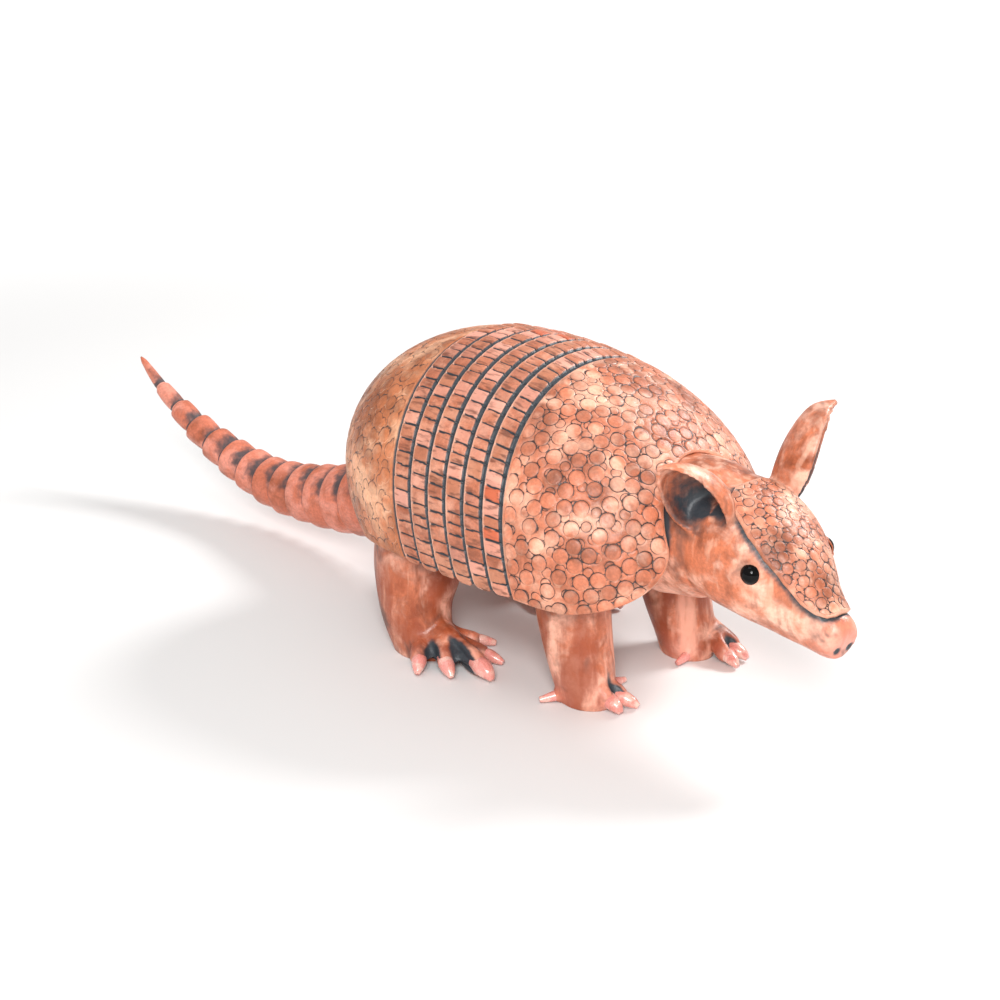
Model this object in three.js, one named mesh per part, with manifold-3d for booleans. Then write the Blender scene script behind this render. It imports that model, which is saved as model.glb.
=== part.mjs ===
// A fired-clay armadillo, modelled as a standing figure.
// Units are millimetres. +X points to the nose, +Y to the animal's left side and +Z up.
// The pieces are drawn about a point on the floor between the four feet; the finished group is
// then set so that the origin is on the floor, under the middle of its bounding box.

import * as THREE from 'three';
import { mergeVertices } from 'three/addons/utils/BufferGeometryUtils.js';
import Module from 'manifold-3d';

const wasm = await Module();
wasm.setup();

// ---------------------------------------------------------------- driving dimensions

const GAP = 0.3; // clearance between neighbouring pieces
const PLATE = 3.2; // thickness of the rolled clay plates
const LAP = 1.2; // how far the rear edge of a band stands proud

// The shell is one domed form, which the plates divide from rear to front.
const SHELL = {
  middleX: -22,
  rearLength: 128,
  frontLength: 130,
  halfWidth: 88,
  height: 91,
  beltZ: 87, // height of the widest part
  lean: -0.2, // the hoops lean back towards their tops
  widthPower: 3.1,
  heightPower: 2.25,
  hoopPower: 2.08,
};

const BAND_COUNT = 6;
const BAND_PITCH = 13.5;
const FIRST_BAND_X = -55.5; // rear edge of the first band, at the belt
const SHOULDER_X = FIRST_BAND_X + BAND_COUNT * BAND_PITCH;
const HEM_Z = 66; // lower edge of the plates

// The trunk fills the shell, stops short of the neck arch and hangs below the hem.
const TRUNK = { inset: 4.6, frontLength: 108, bellyDepth: 43, bellyPower: 1.7 };

const TAIL_PITCH = 18.4; // length of a tail ring, measured along X
const TAIL_RINGS = 11;
const TAIL_TIP_X = -404;
const TAIL_ROOT_X = -86; // where the tail ends, inside the rump
const TAIL_TIP_LENGTH = 21;

const HEAD_TURN = THREE.MathUtils.degToRad(-6); // the face turns a little to the right
const HEAD_PIVOT = new THREE.Vector3(88, 0, 100);

const EYE_RADIUS = 5.8;
const EYE_PLACE = { x: 149, y: 26.7, z: 100.4 }; // of the left eye, before the head is turned
const EAR_THICKNESS = 3;
const BROW_THICKNESS = 2.2;

const FAR = 300; // reaches past the figure from its middle, for blocks that cut it

// ---------------------------------------------------------------- facets

const DOME_SIDES = 24;
const DOME_STEPS = 14;
const BAND_STEPS = 18;
const TAIL_SIDES = 12;
const TIP_SIDES = 10;
const COLUMN_SIDES = 11;
const TOE_SIDES = 6;
const CURVE_STEPS = 6; // of each curve in an outline

// ---------------------------------------------------------------- colours

const CLAY = { color: 0xc98468, roughness: 0.62, metalness: 0 };
const SHELL_CLAY = { color: 0xbb7a58, roughness: 0.6, metalness: 0 };
const EYE_GLAZE = { color: 0x060606, roughness: 0.05, metalness: 0 };
const CLAW_GLAZE = { color: 0xdba08c, roughness: 0.3, metalness: 0 };

// ---------------------------------------------------------------- working with solids

function welded(geometry) {
  geometry.deleteAttribute('normal');
  geometry.deleteAttribute('uv');
  return mergeVertices(geometry, 1e-4);
}

// Moves every vertex of a simple closed geometry to its place on the real form.
function reshaped(geometry, place) {
  const position = geometry.attributes.position;
  const point = new THREE.Vector3();
  for (let i = 0; i < position.count; i += 1) {
    point.fromBufferAttribute(position, i);
    const placed = place(point);
    position.setXYZ(i, placed.x, placed.y, placed.z);
  }
  return welded(geometry);
}

function solidOf(geometry) {
  const vertProperties = Float32Array.from(geometry.attributes.position.array);
  const triVerts = Uint32Array.from(geometry.index.array);
  return new wasm.Manifold(new wasm.Mesh({ numProp: 3, vertProperties, triVerts }));
}

function geometryOf(solid) {
  const { vertProperties, triVerts } = solid.getMesh();
  const geometry = new THREE.BufferGeometry();
  geometry.setAttribute('position', new THREE.BufferAttribute(vertProperties, 3));
  geometry.setIndex(new THREE.BufferAttribute(triVerts, 1));
  return geometry;
}

// A cut can leave thin crumbs beside the piece itself; only the largest body is kept.
function largestBody(solid) {
  const bodies = solid.decompose();
  return bodies.reduce((best, body) => (body.volume() > best.volume() ? body : best));
}

function without(solid, cutters) {
  return cutters.reduce((rest, cutter) => rest.subtract(cutter), solid);
}

function joined(solids) {
  return solids.reduce((all, solid) => all.add(solid));
}

function signedPower(value, power) {
  return Math.sign(value) * Math.abs(value) ** power;
}

// A closed tapering form that follows a smooth line through its stations. Each station is
// [x, y, z, half width across `side`, half height], and `grow` swells the whole form.
function taper({ stations, side, sides = 12, steps = 8, power = 2, grow = 0, round = true }) {
  const line = new THREE.CatmullRomCurve3(stations.map(([x, y, z]) => new THREE.Vector3(x, y, z)));
  const halves = stations.map(([, , , w, h]) => new THREE.Vector3(w, h, 0));
  const sizes = new THREE.CatmullRomCurve3(halves);
  const across = new THREE.Vector3(...side).normalize();
  return reshaped(new THREE.CylinderGeometry(1, 1, 1, sides, steps), (point) => {
    const along = round ? 0.5 - 0.5 * Math.sin(Math.PI * point.y) : 0.5 - point.y;
    const tangent = line.getTangent(along);
    const up = new THREE.Vector3().crossVectors(tangent, across).normalize();
    const size = sizes.getPoint(along);
    const isEnd = Math.abs(point.y) === 0.5;
    return line
      .getPoint(along)
      .addScaledVector(across, signedPower(point.x, 2 / power) * (size.x + grow))
      .addScaledVector(up, signedPower(point.z, 2 / power) * (size.y + grow))
      .addScaledVector(tangent, isEnd ? -grow * Math.sign(point.y) : 0);
  });
}

function mirrored(points) {
  return points.map(([x, y, ...rest]) => [x, -y, ...rest]);
}

// ---------------------------------------------------------------- shell and trunk

// A point of the dome: `station` runs from -1 at the rump to 1 at the chest, `angle` is
// measured from the top towards the left, and `inset` moves the surface inwards.
function domePoint(station, angle, inset, form = {}) {
  const { frontLength, height, heightPower } = { ...SHELL, ...form };
  const length = (station < 0 ? SHELL.rearLength : frontLength) - inset;
  const reach = Math.min(Math.abs(station), 1);
  const width = (SHELL.halfWidth - inset) * Math.sqrt(1 - reach ** SHELL.widthPower);
  const tall = (height - inset) * Math.sqrt(1 - reach ** heightPower);
  const y = width * signedPower(Math.sin(angle), 2 / SHELL.hoopPower);
  const rise = tall * signedPower(Math.cos(angle), 2 / SHELL.hoopPower);
  const x = SHELL.middleX + station * length + SHELL.lean * rise;
  return new THREE.Vector3(x, y, SHELL.beltZ + rise);
}

// A whole dome as a closed solid; `under` overrides the form of its lower half.
function dome({ inset, form = {}, under = {} }) {
  return solidOf(
    reshaped(new THREE.SphereGeometry(1, DOME_SIDES, DOME_STEPS), (point) => {
      const angle = Math.atan2(-point.z, point.x) + Math.PI / 2;
      const isUnder = Math.cos(angle) < 0;
      return domePoint(-point.y, angle, inset, isUnder ? { ...form, ...under } : form);
    }),
  );
}

function trunkShape(grow) {
  const { inset, frontLength, bellyDepth, bellyPower } = TRUNK;
  const under = { height: bellyDepth + inset, heightPower: bellyPower };
  return dome({ inset: inset - grow, form: { frontLength }, under });
}

// The leaning block between two stations of the shell, used to part the plates.
function slab(rearX, frontX) {
  return solidOf(
    reshaped(new THREE.BoxGeometry(1, 1, 1), (point) => {
      const rise = point.z * FAR;
      const x = (point.x < 0 ? rearX : frontX) + SHELL.lean * rise;
      return new THREE.Vector3(x, point.y * FAR, SHELL.beltZ + rise);
    }),
  );
}

function extruded(shape, depth, curveSegments = CURVE_STEPS) {
  return new THREE.ExtrudeGeometry(shape, { depth, bevelEnabled: false, curveSegments });
}

// The mouth of the shoulder shield: an arch over the neck whose feet flare to the hem.
function neckArch() {
  const fromX = 55;
  const toX = 160;
  const archHalf = 38;
  const archZ = 101;
  const footHalf = 84;
  const footZ = HEM_Z - 4;
  const flare = { y: archHalf + 4, z: HEM_Z + 12 }; // pulls the feet of the arch outwards
  const shape = new THREE.Shape();
  shape.moveTo(footHalf, footZ);
  shape.quadraticCurveTo(flare.y, flare.z, archHalf, archZ);
  shape.absellipse(0, archZ, archHalf, archHalf, 0, Math.PI, false, 0);
  shape.quadraticCurveTo(-flare.y, flare.z, -footHalf, footZ);
  shape.lineTo(footHalf, footZ);
  const along = (point) => new THREE.Vector3(fromX + point.z, point.x, point.y);
  return solidOf(reshaped(extruded(shape, toX - fromX, 2 * CURVE_STEPS), along));
}

// Everything under the hem, seen from the side: it climbs in front of the shoulder and dips
// a little at the shoulder and at the rump.
function underHem(rise) {
  const rearX = -190;
  const frontX = 160;
  const hem = new THREE.Shape();
  hem.moveTo(rearX, 0);
  hem.lineTo(frontX, 0);
  hem.lineTo(frontX, HEM_Z + 40);
  hem.quadraticCurveTo(84, HEM_Z - 1, 58, HEM_Z - 2);
  hem.quadraticCurveTo(20, HEM_Z - 2, -10, HEM_Z + 2);
  hem.quadraticCurveTo(-60, HEM_Z + 3, -84, HEM_Z - 2);
  hem.quadraticCurveTo(-115, HEM_Z - 8, rearX, HEM_Z - 8);
  hem.closePath();
  const across = (point) => new THREE.Vector3(point.x, FAR / 2 - point.z, point.y + rise);
  return solidOf(reshaped(extruded(hem, FAR), across));
}

// One movable band: a bent strip whose rear edge stands proud of the plate behind it.
function band(index) {
  const rearX = FIRST_BAND_X + index * BAND_PITCH + GAP / 2;
  const frontX = rearX + BAND_PITCH - GAP;
  const reach = THREE.MathUtils.degToRad(103); // from the top down to the hem
  return reshaped(new THREE.BoxGeometry(1, 1, 1, 1, BAND_STEPS, 1), (point) => {
    const beltX = point.x < 0 ? rearX : frontX;
    const outer = point.x < 0 ? -LAP : LAP / 2;
    const inset = point.z > 0 ? outer : PLATE;
    const length = (beltX < SHELL.middleX ? SHELL.rearLength : SHELL.frontLength) - inset;
    return domePoint((beltX - SHELL.middleX) / length, point.y * 2 * reach, inset);
  });
}

// ---------------------------------------------------------------- tail

const TAIL_LINE = new THREE.CatmullRomCurve3([
  new THREE.Vector3(-404, 0, 86),
  new THREE.Vector3(-380, 0, 68),
  new THREE.Vector3(-345, 0, 50),
  new THREE.Vector3(-305, 0, 37),
  new THREE.Vector3(-262, 0, 30.5),
  new THREE.Vector3(-215, 0, 35),
  new THREE.Vector3(-165, 0, 46),
  new THREE.Vector3(-120, 0, 60),
  new THREE.Vector3(-80, 0, 76),
]);

// Parameter of the tail's line at a given X, found by halving.
function tailAt(x) {
  const halvings = 24;
  let low = 0;
  let high = 1;
  for (let i = 0; i < halvings; i += 1) {
    const middle = (low + high) / 2;
    if (TAIL_LINE.getPoint(middle).x < x) {
      low = middle;
    } else {
      high = middle;
    }
  }
  return (low + high) / 2;
}

// The tail swells from its tip to the rump and narrows again where it goes inside.
function tailRadius(x) {
  const tipRadius = 1.1;
  const swell = 18.6;
  const fromTip = Math.min((x - TAIL_TIP_X) / 206, 1.3);
  const intoRump = THREE.MathUtils.smoothstep(x, -150, TAIL_ROOT_X);
  return (tipRadius + swell * fromTip ** 0.78) * (1 - 0.3 * intoRump);
}

// A length of tail between two X stations, with a rim standing proud at its far end.
function tailLength(farX, nearX, { sides = TAIL_SIDES, steps = 2, grow = 0, tipped = false }) {
  const rim = 1.1;
  const tipRadius = 0.9;
  return reshaped(new THREE.CylinderGeometry(1, 1, 1, sides, steps), (point) => {
    const share = point.y + 0.5;
    const x = farX + (nearX - farX) * share;
    const at = tailAt(x);
    const tangent = TAIL_LINE.getTangent(at);
    const up = new THREE.Vector3(-tangent.z, 0, tangent.x);
    const proud = tipped ? 0 : rim * ((1 - share) ** 2 - 0.4);
    const radius = (tipped && share === 0 ? tipRadius : tailRadius(x)) + proud + grow;
    return TAIL_LINE.getPoint(at)
      .addScaledVector(new THREE.Vector3(0, 1, 0), point.z * radius)
      .addScaledVector(up, point.x * radius);
  });
}

// ---------------------------------------------------------------- head

function turnedHead(geometry) {
  geometry.translate(-HEAD_PIVOT.x, -HEAD_PIVOT.y, -HEAD_PIVOT.z);
  geometry.rotateZ(HEAD_TURN);
  geometry.translate(HEAD_PIVOT.x, HEAD_PIVOT.y, HEAD_PIVOT.z);
  return geometry;
}

const HEAD_STATIONS = [
  [92, 0, 104, 24, 24],
  [99, 0, 103, 32, 30],
  [114, 0, 102, 35.5, 33],
  [132, -1, 97, 34, 31],
  [150, -2, 89, 26, 27],
  [167, -2.5, 79.5, 16, 20],
  [178, -2, 74, 12, 15],
  [187, -1.5, 70.5, 10.8, 12],
  [191.5, -1.4, 69, 8.2, 9.2],
];

function headForm(grow) {
  return turnedHead(
    taper({ stations: HEAD_STATIONS, side: [0, 1, 0], sides: 16, steps: 10, power: 2.15, grow }),
  );
}

// The plate on the brow: a skin over the head, cut to a leaf-shaped outline.
function browPlate(margin) {
  const slope = THREE.MathUtils.degToRad(24);
  const depth = 60;
  const outline = new THREE.Shape();
  outline.moveTo(-37, 14);
  outline.quadraticCurveTo(-24, 27, 0, 25.5);
  outline.quadraticCurveTo(24, 21, 41, 9);
  outline.lineTo(41, -9);
  outline.quadraticCurveTo(24, -21, 0, -25.5);
  outline.quadraticCurveTo(-24, -27, -37, -14);
  outline.closePath();
  const cutter = extruded(outline, depth);
  cutter.scale(1 + margin / 30, 1 + margin / 20, 1);
  cutter.rotateY(slope);
  cutter.translate(142, -1, 92);
  const skin = solidOf(headForm(GAP + BROW_THICKNESS + margin)).subtract(solidOf(headForm(GAP)));
  return largestBody(skin.intersect(solidOf(turnedHead(welded(cutter)))));
}

// A cupped leaf of clay. It is rolled nearly shut at its base and opens towards its tip.
function ear({ base, tip, opening, length, width }) {
  const root = new THREE.Vector3(...base);
  const axis = new THREE.Vector3(...tip).sub(root).normalize();
  const facing = new THREE.Vector3(...opening);
  facing.addScaledVector(axis, -facing.dot(axis)).normalize();
  const across = new THREE.Vector3().crossVectors(axis, facing);
  const shut = 2.2; // half the angle that the leaf is rolled through, at its base
  const spread = 0.7; // and at its tip
  return reshaped(new THREE.BoxGeometry(1, 1, 1, 8, 7, 1), (point) => {
    const along = point.y + 0.5;
    const roll = THREE.MathUtils.lerp(shut, spread, along ** 0.8);
    const swell = 0.34 + 0.66 * Math.sin(Math.PI * Math.min(along * 0.8 + 0.12, 0.5));
    const half = width * swell * Math.sqrt(Math.max(1 - along ** 2.4, 0.004));
    const face = (point.z < 0 ? EAR_THICKNESS : -EAR_THICKNESS) / 2;
    const radius = Math.max(half / Math.sin(Math.min(roll, 1.35)) + face, 0.4);
    const angle = 2 * point.x * roll;
    return root
      .clone()
      .addScaledVector(axis, along * length)
      .addScaledVector(across, radius * Math.sin(angle))
      .addScaledVector(facing, -radius * Math.cos(angle));
  });
}

// ---------------------------------------------------------------- legs

// A leg stands on its foot. Each toe is given by its tip and by its thickness.
const HIND = {
  limb: [
    [-72, -50, 84, 21, 24],
    [-75, -53, 58, 24, 27],
    [-73, -56, 36, 22.5, 26],
    [-68, -61, 18, 19, 21],
    [-58, -62, -6, 15, 17],
  ],
  ankle: [-63, -60, 16, 14],
  toes: [
    { tip: [-38, -91], thick: 6.2 },
    { tip: [-21, -81], thick: 6.6 },
    { tip: [-2, -68], thick: 7.6 },
    { tip: [-13, -48], thick: 5.2 },
    { tip: [-34, -32], thick: 4.8 },
  ],
  claw: 13,
};

const FORE = {
  limb: [
    [30, -42, 84, 19, 20],
    [34, -43, 58, 20.5, 21],
    [39, -44, 36, 19, 20],
    [45, -45, 16, 17, 18],
    [50, -45, -6, 13, 15],
  ],
  ankle: [48, -45, 13, 11],
  toes: [
    { tip: [75, -48], thick: 6.6 },
    { tip: [77, -36], thick: 6.0 },
    { tip: [33, -67], thick: 4.2 },
    { tip: [50, -16], thick: 4.0 },
  ],
  claw: 13,
};

// Stations of one toe, from inside the ankle out to `share` of the way to its tip.
function toeForm(ankle, toe, claw) {
  const [ax, ay, az, ar] = ankle;
  const [tx, ty] = toe.tip;
  const reach = Math.hypot(tx - ax, ty - ay);
  const clawShare = claw / reach;
  const toeShare = 1 - 0.55 * clawShare;
  const at = (share, z, size) => [ax + (tx - ax) * share, ay + (ty - ay) * share, z, size, size];
  const { thick } = toe;
  const side = [-(ty - ay), tx - ax, 0];
  const toeStations = [
    at(0, az, ar * 0.75),
    at(toeShare * 0.45, thick + 4.5, thick + 0.6),
    at(toeShare * 0.8, thick + 0.3, thick * 0.98),
    at(toeShare, thick * 0.8, thick * 0.62),
  ];
  const clawStations = [
    at(1 - 1.25 * clawShare, thick * 1.05, thick * 0.5),
    at(1 - 0.75 * clawShare, thick * 0.95, thick * 0.7),
    at(1 - 0.3 * clawShare, thick * 0.7, thick * 0.55),
    at(1, 2.4, 1.6),
  ];
  return { side, toeStations, clawStations };
}

function leg({ limb, ankle, toes, claw }, { left, limbShift, footShift, cutters }) {
  const moved = (stations, [dx, dy]) =>
    (left ? mirrored(stations) : stations).map(([x, y, ...rest]) => [x + dx, y + dy, ...rest]);
  const across = ([x, y, z]) => (left ? [-x, y, z] : [x, y, z]);
  const forms = toes.map((toe) => toeForm(ankle, toe, claw));
  const column = taper({
    stations: moved(limb, limbShift),
    side: [0, 1, 0],
    sides: COLUMN_SIDES,
    steps: 4,
    round: false,
  });
  const digits = forms.map(({ side, toeStations }) => {
    const stations = moved(toeStations, footShift);
    return solidOf(taper({ stations, side: across(side), sides: TOE_SIDES, steps: 3 }));
  });
  const claws = forms.map(({ side, clawStations }) => {
    const stations = moved(clawStations, footShift);
    return (grow) => solidOf(taper({ stations, side: across(side), sides: 6, steps: 2, grow }));
  });
  const body = joined([solidOf(column), ...digits]);
  const clawCutters = claws.map((make) => make(GAP));
  return {
    limb: largestBody(without(body, [underFloor, ...cutters, ...clawCutters])),
    claws: claws.map((make) => largestBody(make(0).subtract(underFloor))),
  };
}

// The feet are cut level with the floor, so that each stands on small flats.
function floorBlock() {
  const depth = 80;
  const block = new THREE.BoxGeometry(2 * FAR, FAR, depth);
  block.translate(0, 0, -depth / 2);
  return solidOf(welded(block));
}

// ---------------------------------------------------------------- the figure

const underFloor = floorBlock();
const figure = new THREE.Group();

function addPiece(name, geometry, look) {
  const mesh = new THREE.Mesh(geometry, new THREE.MeshStandardMaterial(look));
  mesh.name = name;
  figure.add(mesh);
}

const trunkForm = trunkShape(0);
const trunkClearance = trunkShape(GAP);
const shellInside = dome({ inset: PLATE });
const rearDome = dome({ inset: 0 });
const frontDome = dome({ inset: -LAP });
const hem = underHem(0);
const plateHollow = dome({ inset: PLATE + 2 * GAP });
const shellGuard = without(dome({ inset: -LAP - 1 }), [plateHollow, underHem(-GAP)]);

// Tail rings, from the tip forward. The last one runs on into the rump.
const firstRingX = TAIL_TIP_X + TAIL_TIP_LENGTH;
const rootRingX = firstRingX + (TAIL_RINGS - 1) * TAIL_PITCH;
const tailTip = { sides: TIP_SIDES, steps: 3, tipped: true };
addPiece('tail_tip', tailLength(TAIL_TIP_X, firstRingX - GAP, tailTip), SHELL_CLAY);
for (let ring = 1; ring < TAIL_RINGS; ring += 1) {
  const farX = firstRingX + (ring - 1) * TAIL_PITCH;
  const length = tailLength(farX, farX + TAIL_PITCH - GAP, {});
  addPiece(`tail_ring_${TAIL_RINGS + 1 - ring}`, length, SHELL_CLAY);
}
const rootRing = solidOf(tailLength(rootRingX, TAIL_ROOT_X, { steps: 6 }));
addPiece('tail_ring_1', geometryOf(largestBody(rootRing.subtract(trunkClearance))), SHELL_CLAY);

// Trunk and shell plates.
addPiece('trunk', geometryOf(trunkForm), CLAY);
const tailClearance = solidOf(tailLength(rootRingX, TAIL_ROOT_X, { steps: 6, grow: 1.2 }));
const pelvicBlock = rearDome.intersect(slab(-FAR, FIRST_BAND_X - GAP / 2));
const pelvic = without(pelvicBlock, [shellInside, hem, tailClearance]);
addPiece('pelvic_shield', geometryOf(largestBody(pelvic)), SHELL_CLAY);
for (let index = 0; index < BAND_COUNT; index += 1) {
  addPiece(`band_${index + 1}`, band(index), SHELL_CLAY);
}
const shoulderBlock = frontDome.intersect(slab(SHOULDER_X + GAP / 2, FAR));
const shoulder = without(shoulderBlock, [shellInside, hem, neckArch()]);
addPiece('shoulder_shield', geometryOf(largestBody(shoulder)), SHELL_CLAY);

// Head, neck and what they carry.
const headSolid = solidOf(headForm(0));
const headClearance = solidOf(headForm(GAP));
const eyeBall = (side, radius) => {
  const ball = new THREE.SphereGeometry(radius, 11, 7);
  ball.translate(EYE_PLACE.x, side * EYE_PLACE.y, EYE_PLACE.z);
  return turnedHead(welded(ball));
};
const sockets = [-1, 1].map((side) => solidOf(eyeBall(side, EYE_RADIUS + GAP)));
addPiece('eye_right', eyeBall(-1, EYE_RADIUS), EYE_GLAZE);
addPiece('eye_left', eyeBall(1, EYE_RADIUS), EYE_GLAZE);

const neckForm = (grow) => {
  const stations = [
    [60, 0, 92, 34, 36],
    [80, -0.5, 98.5, 35.5, 37.5],
    [98, -1.5, 100.5, 35.5, 36.5],
    [112, -3, 100.5, 33, 33],
  ];
  return solidOf(taper({ stations, side: [0, 1, 0], sides: 12, steps: 3, grow }));
};
const neck = largestBody(without(neckForm(0), [trunkClearance, headClearance]));
addPiece('neck', geometryOf(neck), CLAY);
addPiece('head', geometryOf(largestBody(without(headSolid, sockets))), CLAY);
const brow = largestBody(without(browPlate(0), sockets));
addPiece('head_shield', geometryOf(brow), SHELL_CLAY);

const EARS = [
  {
    name: 'ear_right',
    base: [120, -21, 113],
    tip: [106, -59, 152],
    opening: [0.35, -0.73, -0.56],
    length: 58,
    width: 16,
  },
  {
    name: 'ear_left',
    base: [119, 23, 112],
    tip: [136, 62, 163],
    opening: [0.9, 0.3, -0.25],
    length: 66,
    width: 18,
  },
];
const earCutters = [headClearance, browPlate(2 * GAP), neckForm(GAP)];
for (const { name, ...form } of EARS) {
  const leaf = largestBody(without(solidOf(ear(form)), earCutters));
  addPiece(name, geometryOf(leaf), CLAY);
}

// Legs and claws.
const legs = [
  { name: 'hindleg_right', plan: HIND, left: false, limbShift: [0, 0], footShift: [0, 0] },
  { name: 'hindleg_left', plan: HIND, left: true, limbShift: [-9, -6], footShift: [-12, -12] },
  { name: 'foreleg_right', plan: FORE, left: false, limbShift: [0, 0], footShift: [0, 0] },
  { name: 'foreleg_left', plan: FORE, left: true, limbShift: [0, -4], footShift: [8, 4] },
];
for (const { name, plan, ...stance } of legs) {
  const { limb, claws } = leg(plan, { ...stance, cutters: [trunkClearance, shellGuard] });
  addPiece(name, geometryOf(limb), CLAY);
  const clawName = name.replace('leg', 'claw');
  claws.forEach((claw, i) => addPiece(`${clawName}_${i + 1}`, geometryOf(claw), CLAW_GLAZE));
}

const extent = new THREE.Box3().setFromObject(figure);
const middle = extent.getCenter(new THREE.Vector3());
figure.position.set(-middle.x, -middle.y, 0);

export default figure;
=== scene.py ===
"""A fired-clay armadillo: plates, pressed marks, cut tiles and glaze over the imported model."""
import math

import bmesh
import bpy
import numpy as np
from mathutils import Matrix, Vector
from mathutils.bvhtree import BVHTree
from mathutils.kdtree import KDTree


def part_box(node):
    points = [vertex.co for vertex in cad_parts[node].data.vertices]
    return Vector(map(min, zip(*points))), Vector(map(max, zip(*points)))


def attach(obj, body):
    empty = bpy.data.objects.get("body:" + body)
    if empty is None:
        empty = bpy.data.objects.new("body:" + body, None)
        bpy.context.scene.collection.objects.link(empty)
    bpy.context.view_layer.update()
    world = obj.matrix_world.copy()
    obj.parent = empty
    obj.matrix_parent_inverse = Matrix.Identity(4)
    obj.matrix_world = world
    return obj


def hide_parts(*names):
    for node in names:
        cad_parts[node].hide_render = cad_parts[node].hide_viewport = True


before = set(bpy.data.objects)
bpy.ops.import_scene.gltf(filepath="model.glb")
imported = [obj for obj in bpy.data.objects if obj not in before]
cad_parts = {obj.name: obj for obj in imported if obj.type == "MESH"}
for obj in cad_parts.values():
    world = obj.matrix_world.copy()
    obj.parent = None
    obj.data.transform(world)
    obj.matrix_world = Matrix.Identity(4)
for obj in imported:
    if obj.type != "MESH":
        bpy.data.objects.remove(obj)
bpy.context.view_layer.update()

# ------------------------------------------------------------------ sizes, in millimetres

MM = 0.001
PLATE = 3.2  # thickness of the rolled clay plates
LAP = 1.2  # how far the rear edge of a band stands proud
MIDDLE_X = -22.0
REAR_LENGTH = 128.0
FRONT_LENGTH = 130.0
HALF_WIDTH = 88.0
HEIGHT = 91.0
BELT_Z = 87.0  # height of the widest part
LEAN = -0.2  # the hoops lean back towards their tops
WIDTH_POWER = 3.1
HEIGHT_POWER = 2.25
HOOP_POWER = 2.08
BAND_COUNT = 6
BAND_PITCH = 13.5
BAND_GAP = 0.3
BAND_REACH = 103  # degrees from the top to a band's ends
FIRST_BAND_X = -55.5
SHOULDER_X = FIRST_BAND_X + BAND_COUNT * BAND_PITCH
HEM_X = [-190, -130, -108, -84, -60, -35, -10, 15, 40, 58, 72, 84, 120]
HEM_Z = [58, 58, 60, 64, 66, 67.5, 68, 67, 65, 64, 64, 65, 70]

TAIL_TIP_X = -404.0
TAIL_TIP_LENGTH = 21.0
TAIL_PITCH = 18.4
TAIL_RINGS = 11
TAIL_ROOT_X = -96.0  # inside the rump
TAIL_RUMP_X = -150  # where the tail begins to narrow into the rump
TAIL_THIN, TAIL_THICK = 1.1, 18.6  # radius at the tip, and what is added to it
TAIL_SWELL = 206  # the length over which that is added
TAIL_LINE = [
    (-404, 0, 86), (-380, 0, 68), (-345, 0, 50), (-305, 0, 37), (-262, 0, 30.5),
    (-215, 0, 35), (-165, 0, 46), (-120, 0, 60), (-80, 0, 76),
]

HEAD_TURN = math.radians(-6)
HEAD_PIVOT = np.array([88.0, 0.0, 100.0])
EYE_RADIUS = 5.8
LID_RADIUS, LID_ROLL, LID_OUT = 6.4, 1.1, 1.6  # the rolled rim round each eye
NOSE_Y = -1.4
EYE_PLACES = {"right": (149, -26.7, 100.4), "left": (149, 26.7, 100.4)}


def signed_power(value, power):
    return np.sign(value) * np.abs(value) ** power


def eased(share):
    """Bends a share from 0 to 1 so that it starts and ends gently."""
    return share * share * (3 - 2 * share)


def turned_head(points, back=False):
    """Turns points of the head to the right, about the neck, or back again."""
    turn = -HEAD_TURN if back else HEAD_TURN
    cos, sin = math.cos(turn), math.sin(turn)
    local = np.asarray(points, float) - HEAD_PIVOT
    x = local[..., 0] * cos - local[..., 1] * sin
    y = local[..., 0] * sin + local[..., 1] * cos
    return np.stack([x, y, local[..., 2]], -1) + HEAD_PIVOT


eye_low, eye_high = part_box("eye_right")
eye_middle = np.array((eye_low + eye_high) / 2)
SHIFT = eye_middle - turned_head(EYE_PLACES["right"]) * MM
SHIFT[2] = 0.0


def placed(points):
    """From millimetres about the point between the feet to metres in the model's frame."""
    return np.asarray(points, float) * MM + SHIFT


# ------------------------------------------------------------------ meshes from grids


def read_values(items, key, width=1):
    values = np.empty(len(items) * width)
    items.foreach_get(key, values)
    return values.reshape(-1, width) if width > 1 else values


def add_values(mesh, name, values, kind="FLOAT", key="value"):
    layer = mesh.attributes.new(name, kind, "POINT")
    layer.data.foreach_set(key, np.asarray(values, np.float32).ravel())


def new_object(name, verts, faces, attributes=None, weld=1e-5):
    mesh = bpy.data.meshes.new(name)
    mesh.from_pydata(placed(verts).tolist(), [], [list(map(int, f)) for f in faces])
    for key, values in (attributes or {}).items():
        add_values(mesh, key, values)
    tidy = bmesh.new()
    tidy.from_mesh(mesh)
    if weld:
        bmesh.ops.remove_doubles(tidy, verts=tidy.verts, dist=weld)
        bmesh.ops.dissolve_degenerate(tidy, edges=tidy.edges, dist=weld / 10)
    bmesh.ops.recalc_face_normals(tidy, faces=tidy.faces)
    tidy.to_mesh(mesh)
    tidy.free()
    mesh.shade_smooth()
    piece = bpy.data.objects.new(name, mesh)
    bpy.context.scene.collection.objects.link(piece)
    return piece


def applied(piece):
    """Turns a piece's modifiers into a plain mesh."""
    bpy.context.view_layer.update()
    graph = bpy.context.evaluated_depsgraph_get()
    mesh = bpy.data.meshes.new_from_object(piece.evaluated_get(graph))
    piece.modifiers.clear()
    old = piece.data
    piece.data = mesh
    mesh.name = piece.name
    bpy.data.meshes.remove(old)
    mesh.shade_smooth()
    return piece


def grid_index(grid):
    return np.arange(grid.shape[0] * grid.shape[1]).reshape(grid.shape[:2])


def closed_round(index):
    """A grid's numbers with the first column again after the last."""
    return np.concatenate([index, index[:, :1]], 1)


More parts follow.
